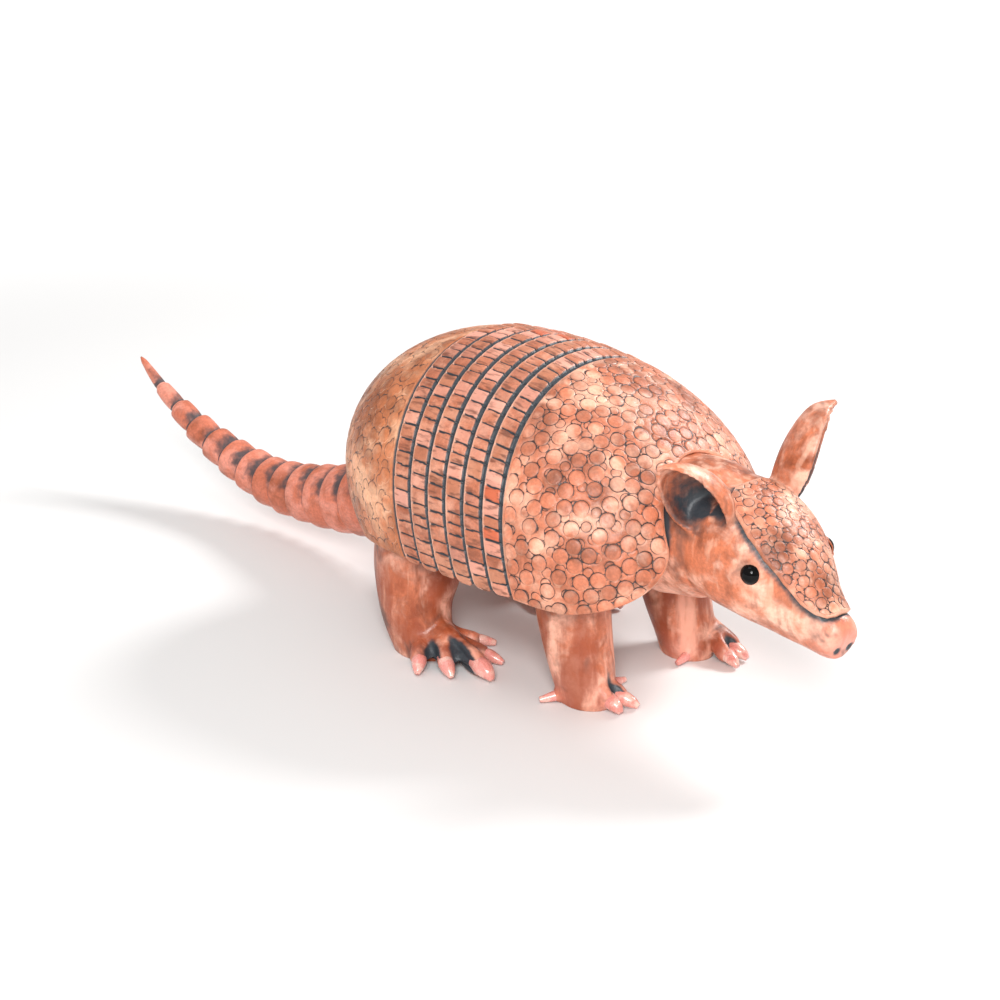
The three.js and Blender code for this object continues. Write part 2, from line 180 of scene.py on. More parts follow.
def thinned(grid, rows, columns):
    """Every few rows and columns of a grid, and always its last column."""
    return np.concatenate([grid[::rows, ::columns], grid[::rows, -1:]], 1)


def grid_quads(index):
    a, b = index[:-1, :-1], index[:-1, 1:]
    c, d = index[1:, 1:], index[1:, :-1]
    return np.stack([a, b, c, d], -1).reshape(-1, 4).tolist()


def stitch(a, b):
    """Triangles between two runs of vertices that may differ in count."""
    faces, i, j = [], 0, 0
    last_a, last_b = len(a) - 1, len(b) - 1
    while i < last_a or j < last_b:
        if j == last_b or (i < last_a and (i + 1) * last_b <= (j + 1) * last_a):
            faces.append((a[i], a[i + 1], b[j]))
            i += 1
        else:
            faces.append((a[i], b[j + 1], b[j]))
            j += 1
    return faces


def closed_plate(name, outer, inner, attributes, polar=False):
    """A plate from its fine outer grid and its coarse inner grid, walled round its edge."""
    top = grid_index(outer)
    low = top.size + grid_index(inner)
    faces = grid_quads(top) + grid_quads(low)
    faces += stitch(top[:, -1], low[:, -1])
    if not polar:
        faces += stitch(top[:, 0], low[:, 0])
        faces += stitch(top[0], low[0]) + stitch(top[-1], low[-1])
    verts = np.concatenate([outer.reshape(-1, 3), inner.reshape(-1, 3)])
    filled = {
        key: np.concatenate([values.ravel(), np.zeros(low.size)]) for key, values in attributes.items()
    }
    return new_object(name, verts, faces, filled)


def smooth_line(points, share):
    """A smooth line through its points; share runs from 0 to 1."""
    p = np.asarray(points, float)
    share = np.asarray(share, float)
    run = np.clip(share, 0, 1) * (len(p) - 1)
    i = np.minimum(run.astype(int), len(p) - 2)
    w = (run - i)[..., None]
    ends = np.vstack([2 * p[0] - p[1], p, 2 * p[-1] - p[-2]])
    p0, p1, p2, p3 = ends[i], ends[i + 1], ends[i + 2], ends[i + 3]
    return 0.5 * (
        2 * p1 + (p2 - p0) * w + (2 * p0 - 5 * p1 + 4 * p2 - p3) * w**2
        + (3 * p1 - p0 - 3 * p2 + p3) * w**3
    )


def unit(vectors):
    return vectors / np.maximum(np.linalg.norm(vectors, axis=-1, keepdims=True), 1e-9)


def taper(stations, side, sides=48, steps=40, power=2.0, rounded=True):
    """Vertices and faces of a closed form through [x, y, z, half width, half height] rows."""
    stations = np.asarray(stations, float)
    share = np.linspace(0, 1, steps + 1)
    if rounded:
        share = 0.5 - 0.5 * np.cos(np.pi * share)
    line = smooth_line(stations[:, :3], share)
    size = smooth_line(stations[:, 3:5], share)
    tangent = unit(smooth_line(stations[:, :3], share + 1e-3) - smooth_line(stations[:, :3], share - 1e-3))
    across = unit(np.asarray(side, float))
    up = unit(np.cross(tangent, across))
    turn = np.linspace(0, 2 * np.pi, sides, endpoint=False)
    w = signed_power(np.cos(turn), 2 / power)
    h = signed_power(np.sin(turn), 2 / power)
    rings = (
        line[:, None]
        + across * (w[None] * size[:, :1])[..., None]
        + up[:, None] * (h[None] * size[:, 1:])[..., None]
    )
    index = grid_index(rings)
    faces = grid_quads(closed_round(index))
    verts = np.concatenate([rings.reshape(-1, 3), line[:1], line[-1:]])
    first, last = len(verts) - 2, len(verts) - 1
    for k in range(sides):
        faces.append((first, index[0, k], index[0, (k + 1) % sides]))
        faces.append((last, index[-1, (k + 1) % sides], index[-1, k]))
    return verts, faces


# ------------------------------------------------------------------ building node trees


def put(tree, kind, inputs=None, **settings):
    node = tree.nodes.new(kind)
    for key, value in settings.items():
        setattr(node, key, value)
    for key, value in (inputs or {}).items():
        socket = node.inputs[key]
        if isinstance(value, bpy.types.NodeSocket):
            tree.links.new(value, socket)
        else:
            socket.default_value = value
    return node


def calc(tree, operation, *values, clamp=False):
    node = put(tree, "ShaderNodeMath", dict(enumerate(values)), operation=operation, use_clamp=clamp)
    return node.outputs[0]


def vector_calc(tree, operation, *values, out=0):
    node = put(tree, "ShaderNodeVectorMath", dict(enumerate(values)), operation=operation)
    return node.outputs[out]


def ramp(tree, value, low, high, start=0.0, end=1.0):
    """Eases from start to end as the value goes from low to high."""
    inputs = {"Value": value, "From Min": low, "From Max": high, "To Min": start, "To Max": end}
    return put(tree, "ShaderNodeMapRange", inputs, interpolation_type="SMOOTHSTEP").outputs[0]


def blend_value(tree, factor, a, b):
    return put(tree, "ShaderNodeMix", {0: factor, 2: a, 3: b}, data_type="FLOAT").outputs[0]


def blend_color(tree, factor, a, b, way="MIX"):
    node = put(tree, "ShaderNodeMix", {0: factor, 6: a, 7: b}, data_type="RGBA", blend_type=way)
    return node.outputs[2]


def shaded(tree, color, amount):
    """A colour darkened or lightened by an amount."""
    shade = put(tree, "ShaderNodeCombineColor", {0: amount, 1: amount, 2: amount}).outputs[0]
    return blend_color(tree, 1.0, color, shade, "MULTIPLY")


def noise_field(tree, where, scale, detail, **more):
    inputs = {"Vector": where, "Scale": scale, "Detail": detail, **more}
    return put(tree, "ShaderNodeTexNoise", inputs).outputs[0]


def about_middle(tree, value, amount):
    """A value from 0 to 1 as a swing of an amount, half of it each way."""
    return calc(tree, "MULTIPLY", calc(tree, "SUBTRACT", value, 0.5), amount)


def object_place(tree):
    return put(tree, "ShaderNodeTexCoord").outputs["Object"]


def named(tree, name, kind="FLOAT"):
    return put(tree, "GeometryNodeInputNamedAttribute", {"Name": name}, data_type=kind).outputs[0]


def keep_value(tree, geometry, name, value):
    inputs = {"Geometry": geometry, "Name": name, "Value": value}
    kind = "GeometryNodeStoreNamedAttribute"
    return put(tree, kind, inputs, data_type="FLOAT", domain="POINT").outputs[0]


def pushed(tree, geometry, way, amount):
    """Moves each point along its own way by an amount."""
    offset = put(tree, "ShaderNodeVectorMath", {0: way, "Scale": amount}, operation="SCALE").outputs[0]
    return put(tree, "GeometryNodeSetPosition", {"Geometry": geometry, "Offset": offset}).outputs[0]


def new_tree(name, kind, inputs, outputs):
    tree = bpy.data.node_groups.new(name, kind)
    for label, socket, *start in inputs:
        made = tree.interface.new_socket(label, in_out="INPUT", socket_type="NodeSocket" + socket)
        if start:
            made.default_value = start[0]
    for label, socket in outputs:
        tree.interface.new_socket(label, in_out="OUTPUT", socket_type="NodeSocket" + socket)
    enter = tree.nodes.new("NodeGroupInput")
    leave = tree.nodes.new("NodeGroupOutput")
    return tree, enter.outputs, leave.inputs


def finish_tree(tree, geometry, material, leave):
    """Ends a tree in real geometry that carries its material."""
    real = put(tree, "GeometryNodeRealizeInstances", {"Geometry": geometry}).outputs[0]
    done = put(tree, "GeometryNodeSetMaterial", {"Geometry": real, "Material": material}).outputs[0]
    tree.links.new(done, leave[0])


def grow(piece, tree, values):
    """Runs a tree on a piece with its named values and leaves a plain mesh."""
    modifier = piece.modifiers.new(tree.name, "NODES")
    modifier.node_group = tree
    for item in tree.interface.items_tree:
        if item.in_out == "INPUT" and item.name in values:
            modifier[item.identifier] = values[item.name]
    return applied(piece)


# One layer of round stamps. A stamp wipes out what was pressed under it before.
def stamp_layer_tree():
    tree, enter, leave = new_tree(
        "stamp_layer",
        "GeometryNodeTree",
        [
            ("Geometry", "Geometry"),
            ("Centres", "Geometry"),
            ("Ring Radius", "Float", 0.0047),
            ("Groove Width", "Float", 0.0007),
            ("Press Depth", "Float", 0.0006),
            ("Lean", "Float", 0.6),
            ("Size Spread", "Float", 0.1),
        ],
        [("Geometry", "Geometry")],
    )
    open_face = named(tree, "open_face")
    nearest = put(tree, "GeometryNodeProximity", {0: enter["Centres"]}, target_element="POINTS")
    centre, away = nearest.outputs[0], nearest.outputs[1]
    here = put(tree, "GeometryNodeInputPosition").outputs[0]
    number = put(tree, "GeometryNodeSampleNearest", {0: enter["Centres"]}, domain="POINT").outputs[0]
    chance = put(tree, "ShaderNodeTexWhiteNoise", {"W": number}, noise_dimensions="1D")
    spread = about_middle(tree, chance.outputs[0], enter["Size Spread"])
    radius = calc(tree, "MULTIPLY", enter["Ring Radius"], calc(tree, "ADD", spread, 1.0))
    tip = vector_calc(tree, "SUBTRACT", chance.outputs[1], (0.5, 0.5, 0.5))
    tip = vector_calc(tree, "ADD", tip, (0.1, 0.1, -0.55))
    tip = vector_calc(tree, "NORMALIZE", tip)
    outward = vector_calc(tree, "NORMALIZE", vector_calc(tree, "SUBTRACT", here, centre))
    towards = vector_calc(tree, "DOT_PRODUCT", outward, tip, out=1)
    light = calc(tree, "MULTIPLY_ADD", towards, 0.5, 0.5)
    deep = calc(tree, "SUBTRACT", 1.0, calc(tree, "MULTIPLY", light, enter["Lean"]))
    off = calc(tree, "SUBTRACT", away, radius)
    off_ring = calc(tree, "ABSOLUTE", off)
    ring = ramp(tree, off_ring, 0.0, enter["Groove Width"], 1.0, 0.0)
    rim = calc(tree, "ADD", radius, enter["Groove Width"])
    inside = ramp(tree, away, radius, rim, 1.0, 0.0)
    inside = calc(tree, "MULTIPLY", inside, open_face)
    cut = calc(tree, "MULTIPLY", ring, deep)
    dish = ramp(tree, away, 0.0, radius, 0.18, -0.14)
    level = calc(tree, "SUBTRACT", dish, cut)
    level = calc(tree, "MULTIPLY", level, enter["Press Depth"])
    off_in_mm = calc(tree, "MULTIPLY", off, 1000.0)
    # deep is largest mostly on each ring's upper side. The shield finishes paint that side dark, partly as
    # painted shade, and paint the shallow lower side pale, as a painted highlight.
    stamped = {"press": level, "groove": cut, "disc": chance.outputs[0], "ring_off": off_in_mm, "deep": deep}
    geometry = enter["Geometry"]
    for name, value in stamped.items():
        value = blend_value(tree, inside, named(tree, name), value)
        geometry = keep_value(tree, geometry, name, value)
    tree.links.new(geometry, leave[0])
    return tree


# Stamped plates: a sparse ground of small rings, then the large ones, packed side by side.
def pressed_rings_tree(layer):
    tree, enter, leave = new_tree(
        "pressed_rings",
        "GeometryNodeTree",
        [
            ("Geometry", "Geometry"),
            ("Large Marks", "Object"),
            ("Ring Radius", "Float", 0.0047),
            ("Small Radius", "Float", 0.0032),
            ("Groove Width", "Float", 0.0007),
            ("Press Depth", "Float", 0.0006),
            ("Lean", "Float", 0.6),
            ("Seed", "Int", 3),
            ("Material", "Material"),
        ],
        [("Geometry", "Geometry")],
    )
    geometry = enter["Geometry"]
    unmarked = {"press": 0.0, "groove": 0.0, "disc": 0.5, "ring_off": 3.0, "deep": 0.5}
    for name, value in unmarked.items():
        geometry = keep_value(tree, geometry, name, value)
    chosen = put(
        tree, "FunctionNodeCompare", {0: named(tree, "open_face"), 1: 0.6},
        data_type="FLOAT", operation="GREATER_THAN",
    ).outputs[0]
    small = put(
        tree,
        "GeometryNodeDistributePointsOnFaces",
        {
            "Mesh": enter["Geometry"],
            "Selection": chosen,
            "Distance Min": calc(tree, "MULTIPLY", enter["Small Radius"], 2.1),
            "Density Max": 60000.0,
            "Seed": enter["Seed"],
        },
        distribute_method="POISSON",
    ).outputs[0]
    large = put(tree, "GeometryNodeObjectInfo", {"Object": enter["Large Marks"]}).outputs["Geometry"]
    for centres, radius in ((small, "Small Radius"), (large, "Ring Radius")):
        values = {name: enter[name] for name in ("Groove Width", "Press Depth", "Lean")}
        values |= {"Geometry": geometry, "Centres": centres, "Ring Radius": enter[radius]}
        geometry = put(tree, "GeometryNodeGroup", values, node_tree=layer).outputs[0]
    normal = put(tree, "GeometryNodeInputNormal").outputs[0]
    moved = pushed(tree, geometry, normal, named(tree, "press"))
    finish_tree(tree, moved, enter["Material"], leave)
    return tree


# A band cut across into uneven tiles, each a little pillowed and set at its own height.
def cut_tiles_tree():
    tree, enter, leave = new_tree(
        "cut_tiles",
        "GeometryNodeTree",
        [
            ("Geometry", "Geometry"),
            ("Tile Length", "Float", 0.0076),
            ("Cut Width", "Float", 0.0006),
            ("Cut Depth", "Float", 0.0011),
            ("Unevenness", "Float", 0.45),
            ("Seed", "Float", 1.0),
            ("Material", "Material"),
        ],
        [("Geometry", "Geometry")],
    )
    here = put(tree, "GeometryNodeInputPosition").outputs[0]
    wander = about_middle(tree, noise_field(tree, here, 160.0, 1.0), 0.22)
    place = calc(tree, "DIVIDE", named(tree, "along"), enter["Tile Length"])
    place = calc(tree, "ADD", calc(tree, "ADD", place, wander), calc(tree, "MULTIPLY", enter["Seed"], 37.3))
    settings = {"W": place, "Scale": 1.0, "Randomness": enter["Unevenness"]}
    border = put(
        tree, "ShaderNodeTexVoronoi", settings, voronoi_dimensions="1D", feature="DISTANCE_TO_EDGE"
    ).outputs["Distance"]
    cell = put(tree, "ShaderNodeTexVoronoi", settings, voronoi_dimensions="1D", feature="F1")
    border = calc(tree, "MULTIPLY", border, enter["Tile Length"])
    open_face = named(tree, "open_face")
    cut = ramp(tree, border, calc(tree, "MULTIPLY", enter["Cut Width"], 0.35), enter["Cut Width"], 1.0, 0.0)
    cut = calc(tree, "MULTIPLY", cut, open_face)
    pillow = ramp(tree, border, 0.0, 0.0022, -0.00028, 0.0)
    parts = put(tree, "FunctionNodeSeparateColor", {0: cell.outputs["Color"]})
    own = about_middle(tree, parts.outputs[0], 0.00055)
    own = calc(tree, "MULTIPLY", calc(tree, "ADD", own, pillow), open_face)
    drop = calc(tree, "SUBTRACT", own, calc(tree, "MULTIPLY", cut, enter["Cut Depth"]))
    geometry = enter["Geometry"]
    for name, value in (("groove", cut), ("tile", parts.outputs[1]), ("disc", parts.outputs[2])):
        geometry = keep_value(tree, geometry, name, value)
    normal = put(tree, "GeometryNodeInputNormal").outputs[0]
    finish_tree(tree, pushed(tree, geometry, normal, drop), enter["Material"], leave)
    return tree


# Collars along the tail: each swells at the end towards the tip and tucks under the next.
def tail_collars_tree():
    tree, enter, leave = new_tree(
        "tail_collars",
        "GeometryNodeTree",
        [
            ("Geometry", "Geometry"),
            ("Rim Height", "Float", 0.0016),
            ("Edge Roundness", "Float", 0.07),
            ("Material", "Material"),
        ],
        [("Geometry", "Geometry")],
    )
    share = named(tree, "ring_share")
    body = calc(tree, "COSINE", calc(tree, "MULTIPLY", share, math.pi / 2))
    body = calc(tree, "POWER", calc(tree, "MAXIMUM", body, 0.0), 0.75)
    nose = ramp(tree, share, 0.0, enter["Edge Roundness"], 0.1, 1.0)
    body = calc(tree, "MULTIPLY", body, nose)
    level = calc(tree, "MULTIPLY", calc(tree, "SUBTRACT", body, 0.45), enter["Rim Height"])
    here = put(tree, "GeometryNodeInputPosition").outputs[0]
    lumps = about_middle(tree, noise_field(tree, here, 70.0, 2.0), 0.0012)
    level = calc(tree, "MULTIPLY", calc(tree, "ADD", level, lumps), named(tree, "fade"))
    moved = pushed(tree, enter["Geometry"], named(tree, "spoke", "FLOAT_VECTOR"), level)
    finish_tree(tree, moved, enter["Material"], leave)
    return tree


# ------------------------------------------------------------------ finishes


def tint(red, green, blue):
    """A colour given on the usual 0 to 255 scale."""
    share = np.array([red, green, blue]) / 255
    linear = np.where(share <= 0.04045, share / 12.92, ((share + 0.055) / 1.055) ** 2.4)
    return (*linear.tolist(), 1.0)


def clay_mottle_tree():
    tree, enter, leave = new_tree(
        "clay_mottle",
        "ShaderNodeTree",
        [
            ("Clay", "Color", tint(205, 125, 98)),
            ("Oxide", "Color", tint(165, 84, 40)),
            ("Bloom", "Color", tint(238, 178, 155)),
            ("Patch Size", "Float", 0.03),
            ("Oxide Amount", "Float", 0.7),
            ("Bloom Amount", "Float", 0.6),
            ("Offset", "Float", 0.0),
        ],
        [("Color", "Color"), ("Patch", "Float")],
    )
    offset = put(tree, "ShaderNodeCombineXYZ", {0: enter["Offset"]}).outputs[0]
    where = vector_calc(tree, "ADD", object_place(tree), offset)
    scale = calc(tree, "DIVIDE", 1.0, enter["Patch Size"])

    def cloud(size, detail, rough, bend=0.0, aside=0.0):
        spot = vector_calc(tree, "ADD", where, (aside, aside, 0.0))
        finer = calc(tree, "MULTIPLY", scale, size)
        return noise_field(tree, spot, finer, detail, Roughness=rough, Distortion=bend)

    broad = cloud(0.8, 3.0, 0.55, 0.5)
    middle = cloud(3.0, 3.0, 0.55, 0.6, 1.7)
    fine = cloud(16.0, 3.0, 0.6, 0.0, 4.1)
    other = cloud(1.1, 3.0, 0.5, 0.6, 7.9)
    both = calc(tree, "ADD", calc(tree, "MULTIPLY", broad, 0.55), calc(tree, "MULTIPLY", middle, 0.45))
    oxide = calc(tree, "MULTIPLY", ramp(tree, both, 0.42, 0.62), enter["Oxide Amount"])
    pale = calc(tree, "ADD", calc(tree, "MULTIPLY", other, 0.6), calc(tree, "MULTIPLY", middle, 0.4))
    bloom = calc(tree, "MULTIPLY", ramp(tree, pale, 0.44, 0.64), enter["Bloom Amount"])
    color = blend_color(tree, oxide, enter["Clay"], enter["Oxide"])
    color = blend_color(tree, bloom, color, enter["Bloom"])
    speck = ramp(tree, fine, 0.3, 0.7, 0.86, 1.1)
    tree.links.new(shaded(tree, color, speck), leave["Color"])
    tree.links.new(both, leave["Patch"])
    return tree


def settled_glaze_tree():
    tree, enter, leave = new_tree(
        "settled_glaze",
        "ShaderNodeTree",
        [
            ("Color", "Color"),
            ("Recess", "Float", 0.0),
            ("Glaze", "Color", tint(48, 54, 60)),
            ("Amount", "Float", 1.0),
            ("Breakup", "Float", 0.4),
        ],
        [("Color", "Color"), ("Mask", "Float")],
    )
    uneven = about_middle(tree, noise_field(tree, object_place(tree), 260.0, 3.0), enter["Breakup"])
    mask = ramp(tree, calc(tree, "ADD", enter["Recess"], uneven), 0.1, 0.62)
    mask = calc(tree, "MULTIPLY", mask, enter["Amount"], clamp=True)
    tree.links.new(blend_color(tree, mask, enter["Color"], enter["Glaze"]), leave["Color"])
    tree.links.new(mask, leave["Mask"])
    return tree


def clay_grain_tree():
    tree, enter, leave = new_tree(
        "clay_grain",
        "ShaderNodeTree",
        [("Grain Size", "Float", 0.0012), ("Drag", "Float", 0.5)],
        [("Height", "Float"), ("Rub", "Float")],
    )
    where = object_place(tree)
    scale = calc(tree, "DIVIDE", 1.0, enter["Grain Size"])
    grain = noise_field(tree, where, scale, 4.0, Roughness=0.65)
    drawn = put(tree, "ShaderNodeMapping", {"Vector": where, "Scale": (0.35, 1.0, 0.12)}).outputs[0]
    drag = noise_field(tree, drawn, calc(tree, "MULTIPLY", scale, 0.8), 2.0)
    pits = put(tree, "ShaderNodeTexVoronoi", {"Vector": where, "Scale": calc(tree, "MULTIPLY", scale, 0.55)})
    pit = ramp(tree, pits.outputs["Distance"], 0.05, 0.2, -0.6, 0.0)
    height = calc(tree, "ADD", grain, calc(tree, "MULTIPLY", drag, enter["Drag"]))
    tree.links.new(calc(tree, "ADD", height, pit), leave["Height"])
    tree.links.new(drag, leave["Rub"])
    return tree


MOTTLE = clay_mottle_tree()
GLAZE = settled_glaze_tree()
GRAIN = clay_grain_tree()


def use(tree, group, **values):
    inputs = {key.replace("_", " "): value for key, value in values.items()}
    return put(tree, "ShaderNodeGroup", inputs, node_tree=group).outputs


def new_finish(name, roughness, **constants):
    material = bpy.data.materials.new(name)
    material.use_nodes = True
    tree = material.node_tree
    shader = tree.nodes["Principled BSDF"]
    for key, value in constants.items():
        shader.inputs[key.replace("_", " ")].default_value = value
    shader.inputs["Roughness"].default_value = roughness
    return material, tree, shader


def read(tree, name):
    return put(tree, "ShaderNodeAttribute", attribute_name=name).outputs["Fac"]


GLAZED_ROUGHNESS = 0.42


def textured(tree, shader, color, glazed, grain, low, high, strength=0.35):
    """Joins colour, a roughness that falls where glaze has settled, and the grain's bump."""
    tree.links.new(color, shader.inputs["Base Color"])
    rough = ramp(tree, grain["Rub"], 0.3, 0.7, low, high)
    rough = blend_value(tree, glazed, rough, GLAZED_ROUGHNESS)
    tree.links.new(rough, shader.inputs["Roughness"])
    bump = put(tree, "ShaderNodeBump", {"Height": grain["Height"], "Strength": strength, "Distance": 0.0006})
    tree.links.new(bump.outputs[0], shader.inputs["Normal"])


def body_finish():
    material, tree, shader = new_finish("body_clay", 0.5)
    mottle = use(
        tree, MOTTLE, Clay=tint(206, 118, 82), Oxide=tint(122, 54, 20), Bloom=tint(252, 190, 164),
        Patch_Size=0.03, Oxide_Amount=0.85, Bloom_Amount=1.0, Offset=0.3,
    )
    where = object_place(tree)
    stretched = vector_calc(tree, "MULTIPLY", where, (1.0, 1.0, 0.22))
    streak = noise_field(tree, stretched, 190.0, 3.0)
    color = blend_color(tree, ramp(tree, streak, 0.52, 0.74, 0.0, 0.5), mottle["Color"], tint(108, 50, 24))
    color = blend_color(tree, ramp(tree, streak, 0.3, 0.46, 0.35, 0.0), color, tint(250, 198, 170))
    height = put(tree, "ShaderNodeSeparateXYZ", {0: where}).outputs[2]
    wash = noise_field(tree, stretched, 75.0, 4.0)
    low = ramp(tree, height, 0.035, 0.08, 1.0, 0.0)
    dark = calc(tree, "MULTIPLY", low, ramp(tree, wash, 0.42, 0.6, 0.15, 0.85))
    color = blend_color(tree, dark, color, tint(148, 64, 30))
    pale = calc(tree, "MULTIPLY", low, ramp(tree, wash, 0.32, 0.44, 0.75, 0.0))
    color = blend_color(tree, pale, color, tint(248, 180, 154))
    color = blend_color(tree, read(tree, "blush"), color, tint(236, 148, 130))
    smoke = noise_field(tree, where, 34.0, 3.0, Distortion=0.8)
    smoke = ramp(tree, smoke, 0.55, 0.7, 0.0, 0.7)
    color = blend_color(tree, smoke, color, tint(70, 56, 52))
    # Slate glaze in the skin's creases; the same values paint shade in the ear cups and a shadow along the
    # shell's opening over the neck.
    glaze = use(tree, GLAZE, Color=color, Recess=read(tree, "groove"), Amount=1.0, Breakup=0.45)
    grain = use(tree, GRAIN, Grain_Size=0.0014, Drag=0.9)
    textured(tree, shader, glaze["Color"], glaze["Mask"], grain, 0.28, 0.5)
    return material


def stamped_finish(name, clay, oxide, bloom, patch, offset, amount):
    material, tree, shader = new_finish(name, 0.5)
    mottle = use(
        tree, MOTTLE, Clay=clay, Oxide=oxide, Bloom=bloom, Patch_Size=patch,
        Oxide_Amount=0.7, Bloom_Amount=0.75, Offset=offset,
    )
    disc = ramp(tree, read(tree, "disc"), 0.0, 1.0, 0.8, 1.14)
    color = shaded(tree, mottle["Color"], disc)
    off = calc(tree, "ABSOLUTE", read(tree, "ring_off"))
    deep, face = read(tree, "deep"), read(tree, "open_face")
    # Along each ring: the shallow lower side is painted pale, as a painted highlight. The deep upper side is
    # painted dark, partly slate in the deeper cut and partly painted shade, with a painted-shade halo beside
    # it.
    line = calc(tree, "MULTIPLY", ramp(tree, off, 0.16, 0.55, 1.0, 0.0), face)
    shade_halo = calc(tree, "MULTIPLY", ramp(tree, off, 0.3, 1.5, 0.35, 0.0), face)
    pale = calc(tree, "MULTIPLY", line, ramp(tree, deep, 0.1, 0.42, 0.4, 0.0))
    dark = calc(tree, "MULTIPLY", line, ramp(tree, deep, 0.12, 0.6, 0.0, 1.0))
    dark = calc(tree, "MAXIMUM", dark, calc(tree, "MULTIPLY", shade_halo, ramp(tree, deep, 0.6, 1.0)))
    color = blend_color(tree, pale, color, tint(244, 196, 164))
    color = blend_color(tree, calc(tree, "MULTIPLY", dark, amount), color, tint(56, 42, 40))
    glaze = use(tree, GLAZE, Color=color, Recess=read(tree, "trough"), Amount=1.0, Breakup=0.3)
    grain = use(tree, GRAIN, Grain_Size=0.0011, Drag=0.5)
    color = blend_color(tree, read(tree, "edge"), glaze["Color"], tint(236, 186, 158))
    cut = calc(tree, "MULTIPLY", line, calc(tree, "MULTIPLY", deep, 1.4))
    height = calc(tree, "SUBTRACT", grain["Height"], cut)
    textured(tree, shader, color, glaze["Mask"], {"Rub": grain["Rub"], "Height": height}, 0.3, 0.5)
    return material


def band_finish():
    material, tree, shader = new_finish("band_clay", 0.5)
    mottle = use(
        tree, MOTTLE, Clay=tint(186, 110, 80), Oxide=tint(120, 58, 30), Bloom=tint(234, 168, 140),
        Patch_Size=0.022, Oxide_Amount=0.6, Bloom_Amount=0.6, Offset=0.7,
    )
    tile = read(tree, "tile")
    color = blend_color(tree, ramp(tree, tile, 0.0, 0.45, 0.55, 0.0), mottle["Color"], tint(184, 122, 92))
    color = blend_color(tree, ramp(tree, tile, 0.6, 0.9, 0.0, 0.5), color, tint(240, 176, 158))
    color = blend_color(tree, ramp(tree, tile, 0.965, 0.975, 0.0, 0.8), color, tint(192, 80, 30))
    stretched = vector_calc(tree, "MULTIPLY", object_place(tree), (0.25, 1.0, 1.0))
    brushed = noise_field(tree, stretched, 420.0, 2.0)
    color = blend_color(tree, ramp(tree, brushed, 0.5, 0.72, 0.0, 0.75), color, tint(104, 58, 42))
    recess = calc(tree, "MAXIMUM", read(tree, "gap"), read(tree, "groove"))
    glaze = use(tree, GLAZE, Color=color, Recess=recess, Amount=1.0, Breakup=0.45)
    color = blend_color(tree, read(tree, "edge"), glaze["Color"], tint(236, 180, 154))
    grain = use(tree, GRAIN, Grain_Size=0.0011, Drag=0.7)
    textured(tree, shader, color, glaze["Mask"], grain, 0.34, 0.54)
    return material


def ring_finish():
    material, tree, shader = new_finish("ring_clay", 0.5)
    mottle = use(
        tree, MOTTLE, Clay=tint(198, 110, 82), Oxide=tint(130, 60, 24), Bloom=tint(244, 162, 142),
        Patch_Size=0.024, Oxide_Amount=0.8, Bloom_Amount=0.6, Offset=1.1,
    )
    share, upper = read(tree, "ring_share"), read(tree, "upper")
    smear = about_middle(tree, noise_field(tree, object_place(tree), 60.0, 2.0), 0.9)
    saddle = ramp(tree, calc(tree, "ADD", share, smear), 0.3, 1.0, 0.0, 0.62)
    saddle = calc(tree, "MULTIPLY", saddle, ramp(tree, upper, -0.35, 0.75))
    line = ramp(tree, share, 0.86, 0.98, 0.0, 0.85)
    recess = calc(tree, "MAXIMUM", saddle, line)
    glaze = use(tree, GLAZE, Color=mottle["Color"], Recess=recess, Amount=0.92, Breakup=0.6)
    rim = ramp(tree, share, 0.0, 0.1, 0.55, 0.0)
    color = blend_color(tree, rim, glaze["Color"], tint(236, 170, 150))
    grain = use(tree, GRAIN, Grain_Size=0.0012, Drag=0.7)
    textured(tree, shader, color, glaze["Mask"], grain, 0.34, 0.54)
    return material


def claw_finish():
    material, tree, shader = new_finish("claw_glaze", 0.2, Coat_Weight=0.6, Coat_Roughness=0.08)
    mottle = use(
        tree, MOTTLE, Clay=tint(232, 150, 140), Oxide=tint(188, 96, 66), Bloom=tint(246, 206, 190),
        Patch_Size=0.009, Oxide_Amount=0.35, Bloom_Amount=0.8, Offset=2.0,
    )
    grain = use(tree, GRAIN, Grain_Size=0.0009, Drag=0.4)
    textured(tree, shader, mottle["Color"], 0.0, grain, 0.16, 0.3, 0.12)
    return material


def eye_finish():
    material, tree, shader = new_finish("eye_glaze", 0.06, Specular_IOR_Level=0.16)
    noise = noise_field(tree, object_place(tree), 420.0, 2.0)
    color = blend_color(tree, ramp(tree, noise, 0.4, 0.8), tint(5, 5, 6), tint(16, 13, 12))
    tree.links.new(color, shader.inputs["Base Color"])
    tree.links.new(ramp(tree, noise, 0.3, 0.8, 0.04, 0.1), shader.inputs["Roughness"])
    bump = put(tree, "ShaderNodeBump", {"Height": noise, "Strength": 0.03, "Distance": 0.0004})
    tree.links.new(bump.outputs[0], shader.inputs["Normal"])
    return material


BODY = body_finish()
SHIELD = stamped_finish(
    "shield_clay", tint(198, 116, 84), tint(116, 56, 28), tint(244, 184, 156), 0.026, 0.0, 1.0
)
PELVIC = stamped_finish(
    "pelvic_clay", tint(192, 114, 72), tint(116, 54, 12), tint(244, 186, 148), 0.032, 3.0, 0.9
)
BANDS = band_finish()
RINGS = ring_finish()
CLAWS = claw_finish()
EYES = eye_finish()


def use_finish(piece, material):
    piece.data.materials.clear()
    piece.data.materials.append(material)


# ------------------------------------------------------------------ the domed shell


